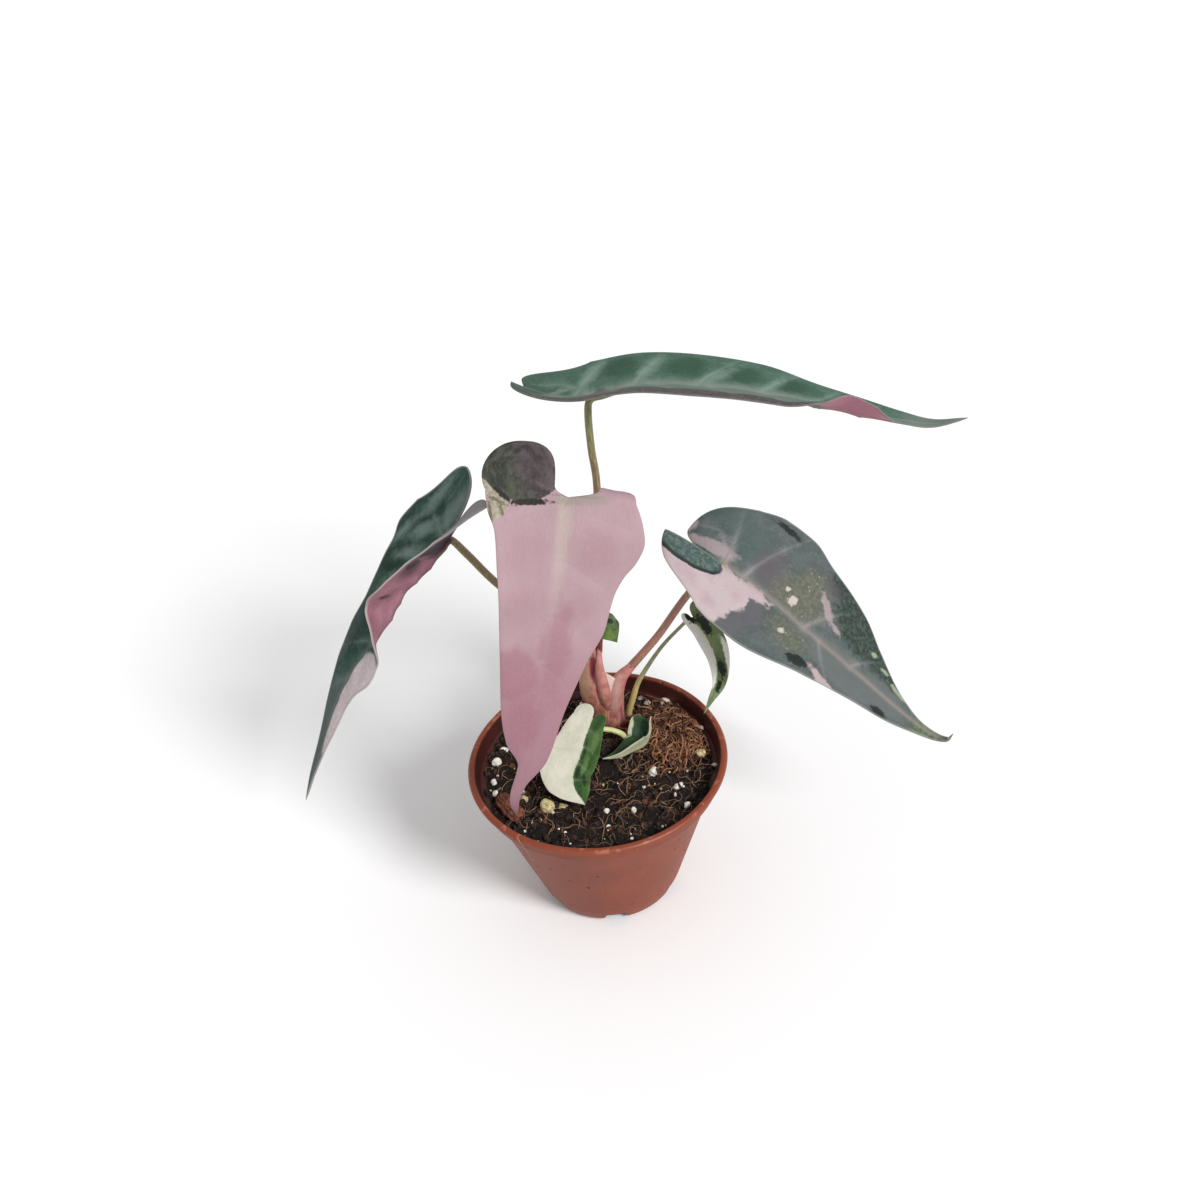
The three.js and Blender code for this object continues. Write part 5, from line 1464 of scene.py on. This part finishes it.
finish = Leaf("right leaf")
upper = finish.quilted(colour(64, 76, 74), colour(82, 90, 89), colour(110, 111, 111), colour(138, 136, 134))
dark = finish.mix(finish.flecks.smooth_step(0.4, 0.65), colour(20, 38, 31), colour(58, 72, 64))
upper = finish.mix(finish.patch("dark green", 1.2, 2.6, 2.0) * 0.9, upper, dark)
upper = finish.mix(finish.patch("teal", 2.0, 2.4) * 0.5, upper, colour(62, 82, 80))
upper = finish.mix(finish.patch("purple", 1.4, 1.8) * 0.65, upper, colour(84, 76, 82))
olive = finish.patch("olive", 2.2, 3.0)
greens = finish.mix(finish.flecks.smooth_step(0.4, 0.68), colour(84, 86, 70), colour(110, 109, 92))
upper = finish.mix(olive * 0.75, upper, greens)
upper = finish.mix(finish.patch("grey band", 1.2, 1.6) * 0.7, upper, colour(94, 99, 98))
tip = finish.mix(finish.flecks.smooth_step(0.45, 0.6), colour(66, 84, 56), colour(110, 126, 88))
upper = finish.mix(finish.patch("yellow tip", 1.4, 2.0) * 0.7, upper, tip)
upper = finish.mix(finish.field("vein") * 0.45, upper, colour(136, 132, 130))
upper = finish.mix(finish.patch("clouded end", 1.0, 2.0) * 0.7, upper, colour(88, 83, 89))
white = finish.patch("white sector", 0.35, 1.5, 2.6)
sector = finish.mix(finish.clouds.smooth_step(0.4, 0.7), colour(178, 163, 165), colour(172, 150, 156))
upper = finish.mix(white, upper, sector)
upper = finish.mix(finish.patch("pink lobe edge", 0.5, 1.2) * 0.8, upper, colour(152, 138, 140))
upper = finish.mix(finish.patch("pale margin", 0.3, 0.8), upper, colour(164, 148, 150))
upper = finish.mix(finish.patch("streak", 0.3, 0.9, 1.2) * 0.85, upper, colour(156, 138, 141))
upper = finish.mix(finish.patch("blotches", 0.25, 0.8, 1.1), upper, colour(184, 172, 166))
scattered_flecks = finish.cells(finish.plan, 2.2).smooth_step(0.17, 0.1) * olive
upper = finish.mix(scattered_flecks * 0.6, upper, colour(172, 168, 150))
upper = finish.mix(finish.patch("tip flecks", 0.25, 0.6, 1.0), upper, colour(134, 148, 118))
upper = finish.mix(finish.patch("spots", 0.3, 0.9, 1.2) * 0.95, upper, colour(6, 18, 10))
upper = finish.mix(finish.field("rib") * 0.7, upper, colour(138, 128, 122))
upper = finish.mix(finish.patch("stood shade", 0.15, 0.35), upper, colour(26, 38, 33))
stood = finish.patch("stood green", 0.3, 0.35)
strip = finish.mix(finish.flecks.smooth_step(0.4, 0.65), colour(54, 74, 69), colour(88, 106, 101))
upper = finish.mix(stood, upper, strip)
edge = finish.margin.smooth_step(0.5, 0.2)
upper = finish.mix(edge * 0.5, upper, colour(150, 148, 142))
under = finish.mix(finish.clouds.smooth_step(0.3, 0.7), colour(94, 84, 88), colour(122, 111, 113))
under = finish.mix(white, under, colour(180, 160, 163))
under = finish.mix(stood, under, colour(172, 162, 158))
under = finish.mix(finish.field("rib") * 0.6, under, colour(146, 120, 108))
blade_piece(RIGHT, finish.leaf_finished(upper, under, 0.62, 0.02))
stalk_piece(
    RIGHT,
    stalk_finish(
        "right leaf's stalk", colour(156, 108, 94), colour(142, 122, 96), colour(122, 108, 76), 0.35, 0.9,
    ),
)


# Small leaves
# Four young leaves on thin stalks, three of them from the soil: the arched one at the right wall, the half
# cream and half green one in front, the cupped one behind it, and the smallest at the top of the crown.

SMALL_OUTLINE = [(0, 1), (0.25, 1.05), (0.5, 0.8), (0.75, 0.4), (0.9, 0.15), (1, 0)]
ARCHED = {
    "name": "arched",
    "step": 0.3,
    "columns": 18,
    "relief": 0.4,
    "midrib": [
        (30, 25, 68.5), (32.5, 23.5, 64.5), (35, 20, 58.5), (35, 16.5, 52.5), (32.5, 13, 49.5),
        (30, 10, 46.5),
    ],
    "face": [(0, 0.1, -0.8, 0.5), (1, 0, -0.9, 0.3)],
    "right": {
        "width": 2.8, "outline": SMALL_OUTLINE, "fold": [(0, 20)], "curl": [(0, 0)], "lobe": {"length": 3},
        "veins": [(5, 7), (11, 13), (17, 19)],
    },
    "left": {
        "width": 4.5, "outline": SMALL_OUTLINE, "fold": [(0, 20)], "curl": [(0, 0)], "lobe": {"length": 4},
        "veins": [(4, 6), (10, 12), (16, 18)],
    },
    "patches": {
        "white half": [(2.2, 10, 2.1, 14, 0), (-3.6, 14, 0.9, 6, 0)],
        "dark": [
            (-1.2, 16, 1.0, 2.4, 10), (-0.6, 21, 0.7, 2.0, 0), (-1.5, 3, 1.3, 3.5, 0),
            (0.6, -1, 1.2, 2.5, 0),
        ],
    },
    "stalk": [
        (9.6, 20.4, 36, 0.9), (9.9, 20.5, 40.5, 0.9), (11.6, 20.8, 46, 0.85), (14, 22, 51.5, 0.7),
        (20.3, 23.5, 60.2, 0.55), (26, 25, 65.4, 0.5), (29.2, 25.3, 68, 0.5),
    ],
    "stalk_end": (1.5, 4.0),
}
CREAM = {
    "name": "cream",
    "step": 0.3,
    "columns": 22,
    "relief": 0.45,
    "midrib": [(0, 5, 54), (-2, 2, 51.5), (-4, -3, 49), (-6.5, -8, 47), (-6.5, -12, 45.5), (-4.5, -16, 43.5)],
    "face": [(0, -0.3, -0.6, 0.8), (1, 0, -0.6, 0.8)],
    "right": {
        "width": 5.5,
        "outline": [(0, 1), (0.2, 1.3), (0.4, 1.65), (0.6, 1.7), (0.75, 1.3), (0.88, 0.55), (1, 0)],
        "fold": [(0, 10)],
        "curl": [(0, 0)],
        "lobe": {"length": 3.5, "root": 0.4, "splay": 0},
        "veins": [(3, 6), (8, 11), (13, 16), (18, 20)],
    },
    "left": {
        "width": 4.5,
        "outline": [(0, 1), (0.25, 1.15), (0.5, 1.2), (0.75, 1.1), (0.9, 0.8), (1, 0)],
        "fold": [(0, 20)],
        "curl": [(0, 0)],
        "lobe": {"length": 2, "splay": 0},
        "veins": [(3, 6), (8, 11), (13, 16), (18, 20)],
    },
    "patches": {
        "green": [(-8.4, 11, 8.6, 40, 0)],
        "dark": [(-0.8, 9, 0.5, 3.0, 0), (-1.0, 15, 0.6, 2.6, 0), (-3.2, 19, 0.6, 2.2, 0)],
        "light": [(-3.4, 6, 1.0, 3.5, 0), (-2.5, 14, 0.8, 3, 0)],
    },
    "stalk": [
        (8.9, 9.2, 36, 0.9), (8.7, 9, 40.5, 0.85), (7.4, 9, 43.6, 0.8), (4.7, 9, 45.6, 0.75),
        (1.9, 8.4, 47.2, 0.7), (0.9, 7.2, 50.4, 0.65), (0.4, 5.6, 53.1, 0.6),
    ],
    "stalk_end": (1.5, 4.0),
}
CUPPED = {
    "name": "cupped",
    "step": 0.3,
    "columns": 20,
    "relief": 0.4,
    "midrib": [(15, 9, 46), (13.5, 5.5, 43), (10, 3.5, 42.6), (5.5, 1.5, 42.6), (1.2, 0, 44)],
    "face": [(0, -0.2, 0.1, 1)],
    "right": {
        "width": 5.5, "outline": SMALL_OUTLINE, "fold": [(0, 20)], "curl": [(0, 0)], "lobe": {"length": 2},
        "veins": [(3, 5.5), (8, 10.5), (13, 15)],
    },
    "left": {
        "width": 5, "outline": SMALL_OUTLINE, "fold": [(0, 60)], "curl": [(0, 0)], "lobe": {"length": 2},
        "veins": [(3, 5.5), (8, 10.5), (13, 15)],
    },
    "patches": {"cream rim": [(5.2, 6, 0.8, 9, 0)], "light": [(3, 3, 1.2, 3.5, 0)]},
    "stalk": [
        (14.2, 13.4, 37, 0.75), (14.3, 13, 41, 0.75), (14.7, 11.5, 44.4, 0.65), (15, 9.8, 45.6, 0.6),
    ],
    "stalk_end": (1.5, 4.0),
}
BUD = {
    "name": "bud",
    "step": 0.2,
    "columns": 16,
    "relief": 0.3,
    "midrib": [(6.2, 11, 80.6), (7.6, 10, 78), (8.7, 9, 76)],
    "face": [(0, 0.3, -0.6, 0.7)],
    "right": {
        "width": 3.2, "outline": SMALL_OUTLINE, "fold": [(0, 10)], "curl": [(0, 0)], "lobe": {"length": 2.4},
        "veins": [(1, 2.5), (3, 4)],
    },
    "left": {
        "width": 3.2, "outline": SMALL_OUTLINE, "fold": [(0, 10)], "curl": [(0, 0)], "lobe": {"length": 2.4},
        "veins": [(1, 2.5), (3, 4)],
    },
    "patches": {
        "dark": [(-1.5, -0.3, 0.7, 1.0, 20), (-3, 2.2, 0.35, 1.4, 0), (-0.8, -1.4, 0.5, 0.6, 0)],
        "bright": [(1.0, 2.8, 1.3, 1.5, 0)],
    },
    "stalk": [(3.9, 16.5, 67.4, 0.7), (4.5, 15, 73, 0.65), (5.3, 12.9, 77.3, 0.55), (5.9, 11.5, 80, 0.5)],
    "stalk_end": (0.8, 2.0),
}

finish = Leaf("arched leaf")
upper = finish.mix(finish.clouds.smooth_step(0.35, 0.65), colour(88, 108, 68), colour(120, 138, 92))
upper = finish.mix(finish.field("vein") * 0.3, upper, colour(146, 160, 122))
white = finish.patch("white half", 0.2, 0.5, 1.4)
upper = finish.mix(white, upper, colour(232, 232, 222))
upper = finish.mix(finish.patch("dark", 0.2, 1.1, 0.9), upper, colour(26, 38, 22))
under = finish.mix(
    white, finish.mix(finish.clouds, colour(120, 140, 100), colour(150, 164, 124)), colour(216, 216, 200),
)
blade_piece(ARCHED, finish.leaf_finished(upper, under, 0.45))
stalk_piece(
    ARCHED,
    stalk_finish(
        "arched leaf's stalk", colour(188, 168, 106), colour(124, 136, 112), colour(166, 156, 104), 0.3, 0.5,
    ),
)

finish = Leaf("cream leaf")
upper = finish.mix(finish.clouds.smooth_step(0.4, 0.65), colour(206, 202, 186), colour(190, 190, 172))
green = finish.patch("green", 0.15, 0.5, 1.6)
greens = finish.mix(finish.clouds.smooth_step(0.35, 0.65), colour(44, 76, 32), colour(72, 108, 52))
greens = finish.mix(finish.patch("light", 0.4, 0.8, 1.2) * 0.6, greens, colour(112, 140, 84))
greens = finish.mix(finish.patch("dark", 0.2, 0.7, 0.9) * 0.9, greens, colour(24, 46, 22))
upper = finish.mix(green, upper, greens)
upper = finish.mix(finish.field("vein") * 0.2, upper, colour(200, 212, 176))
under = finish.mix(green, colour(214, 212, 194), colour(110, 148, 88))
blade_piece(CREAM, finish.leaf_finished(upper, under, 0.42))
stalk_piece(
    CREAM,
    stalk_finish(
        "cream leaf's stalk", colour(176, 164, 110), colour(206, 204, 146), colour(178, 184, 112), 0.1, 0.4,
    ),
)

finish = Leaf("cupped leaf")
upper = finish.mix(finish.clouds.smooth_step(0.35, 0.65), colour(28, 56, 32), colour(50, 82, 50))
upper = finish.mix(finish.patch("light", 0.6, 1.0) * 0.5, upper, colour(96, 122, 96))
upper = finish.mix(finish.patch("cream rim", 0.2, 0.6), upper, colour(206, 208, 180))
under = finish.mix(finish.clouds.smooth_step(0.4, 0.65), colour(196, 196, 166), colour(176, 186, 146))
blade_piece(CUPPED, finish.leaf_finished(upper, under, 0.42))
stalk_piece(
    CUPPED,
    stalk_finish("cupped leaf's stalk", colour(176, 160, 106), colour(190, 184, 130), colour(164, 160, 100)),
)

finish = Leaf("smallest leaf")
upper = finish.mix(finish.flecks.smooth_step(0.35, 0.65), colour(48, 70, 30), colour(84, 104, 52))
upper = finish.mix(finish.patch("bright", 0.6, 0.6, 0.9) * 0.7, upper, colour(92, 116, 44))
upper = finish.mix(finish.patch("dark", 0.15, 0.4, 0.6), upper, colour(18, 26, 16))
upper = finish.mix(finish.margin.smooth_step(0.5, 0.2) * 0.5, upper, colour(70, 96, 52))
under = finish.mix(finish.clouds, colour(96, 116, 76), colour(120, 136, 100))
blade_piece(BUD, finish.leaf_finished(upper, under, 0.45))
stalk_piece(
    BUD,
    stalk_finish("smallest leaf's stalk", colour(126, 54, 58), colour(146, 92, 84), colour(110, 38, 46)),
)


# Floor, light and camera
# A plain white floor, a large soft lamp at the right whose shadow falls to the left, and pale light from all
# round. The camera stands where the photograph was taken from.

FLOOR_HALF = 3.0
floor_mesh = bpy.data.meshes.new("floor")
floor_mesh.from_pydata(
    [
        (-FLOOR_HALF, -FLOOR_HALF, 0), (FLOOR_HALF, -FLOOR_HALF, 0), (FLOOR_HALF, FLOOR_HALF, 0),
        (-FLOOR_HALF, FLOOR_HALF, 0),
    ],
    [], [(0, 1, 2, 3)],
)
finish = Finish("white floor")
floor_mesh.materials.append(finish.finished(colour(246, 246, 246), 0.9, specular_ior_level=0.1))
floor = bpy.data.objects.new("floor", floor_mesh)
bpy.context.scene.collection.objects.link(floor)

world = bpy.data.worlds.new("pale room")
world.use_nodes = True
WORLD_STRENGTH = 0.6
world.node_tree.nodes["Background"].inputs["Color"].default_value = (1.0, 1.0, 1.0, 1.0)
world.node_tree.nodes["Background"].inputs["Strength"].default_value = WORLD_STRENGTH
bpy.context.scene.world = world


SUN_FROM = (0.84, -0.92, 1.0)
SUN_SPREAD = 18
SUN_STRENGTH = 2.7
light = bpy.data.lights.new("window", "SUN")
light.energy = SUN_STRENGTH
light.angle = np.radians(SUN_SPREAD)
window = bpy.data.objects.new("window", light)
away = unit_rows(np.array(SUN_FROM))
side = unit_rows(np.cross((0, 0, 1), away))
over = np.cross(away, side)
window.matrix_world = Matrix(
    np.vstack([np.column_stack([side, over, away, SUN_FROM]), (0, 0, 0, 1)]).tolist()
)
bpy.context.scene.collection.objects.link(window)

CAMERA_PLACE = (0.0055, -0.2932, 0.3231)
CAMERA_DOWN = 37.581
CAMERA_ROLL = -6.518
CAMERA_LENS = 45.0
camera = bpy.data.cameras.new("camera")
camera.lens = CAMERA_LENS
camera.sensor_width = 36.0
camera.clip_start = 0.01
viewer = bpy.data.objects.new("camera", camera)
tilt = Matrix.Rotation(np.radians(90 - CAMERA_DOWN), 4, "X")
viewer.matrix_world = Matrix.Translation(CAMERA_PLACE) @ tilt @ Matrix.Rotation(
    np.radians(CAMERA_ROLL), 4, "Z",
)
bpy.context.scene.collection.objects.link(viewer)
bpy.context.scene.camera = viewer
bpy.context.scene.view_settings.view_transform = "Standard"
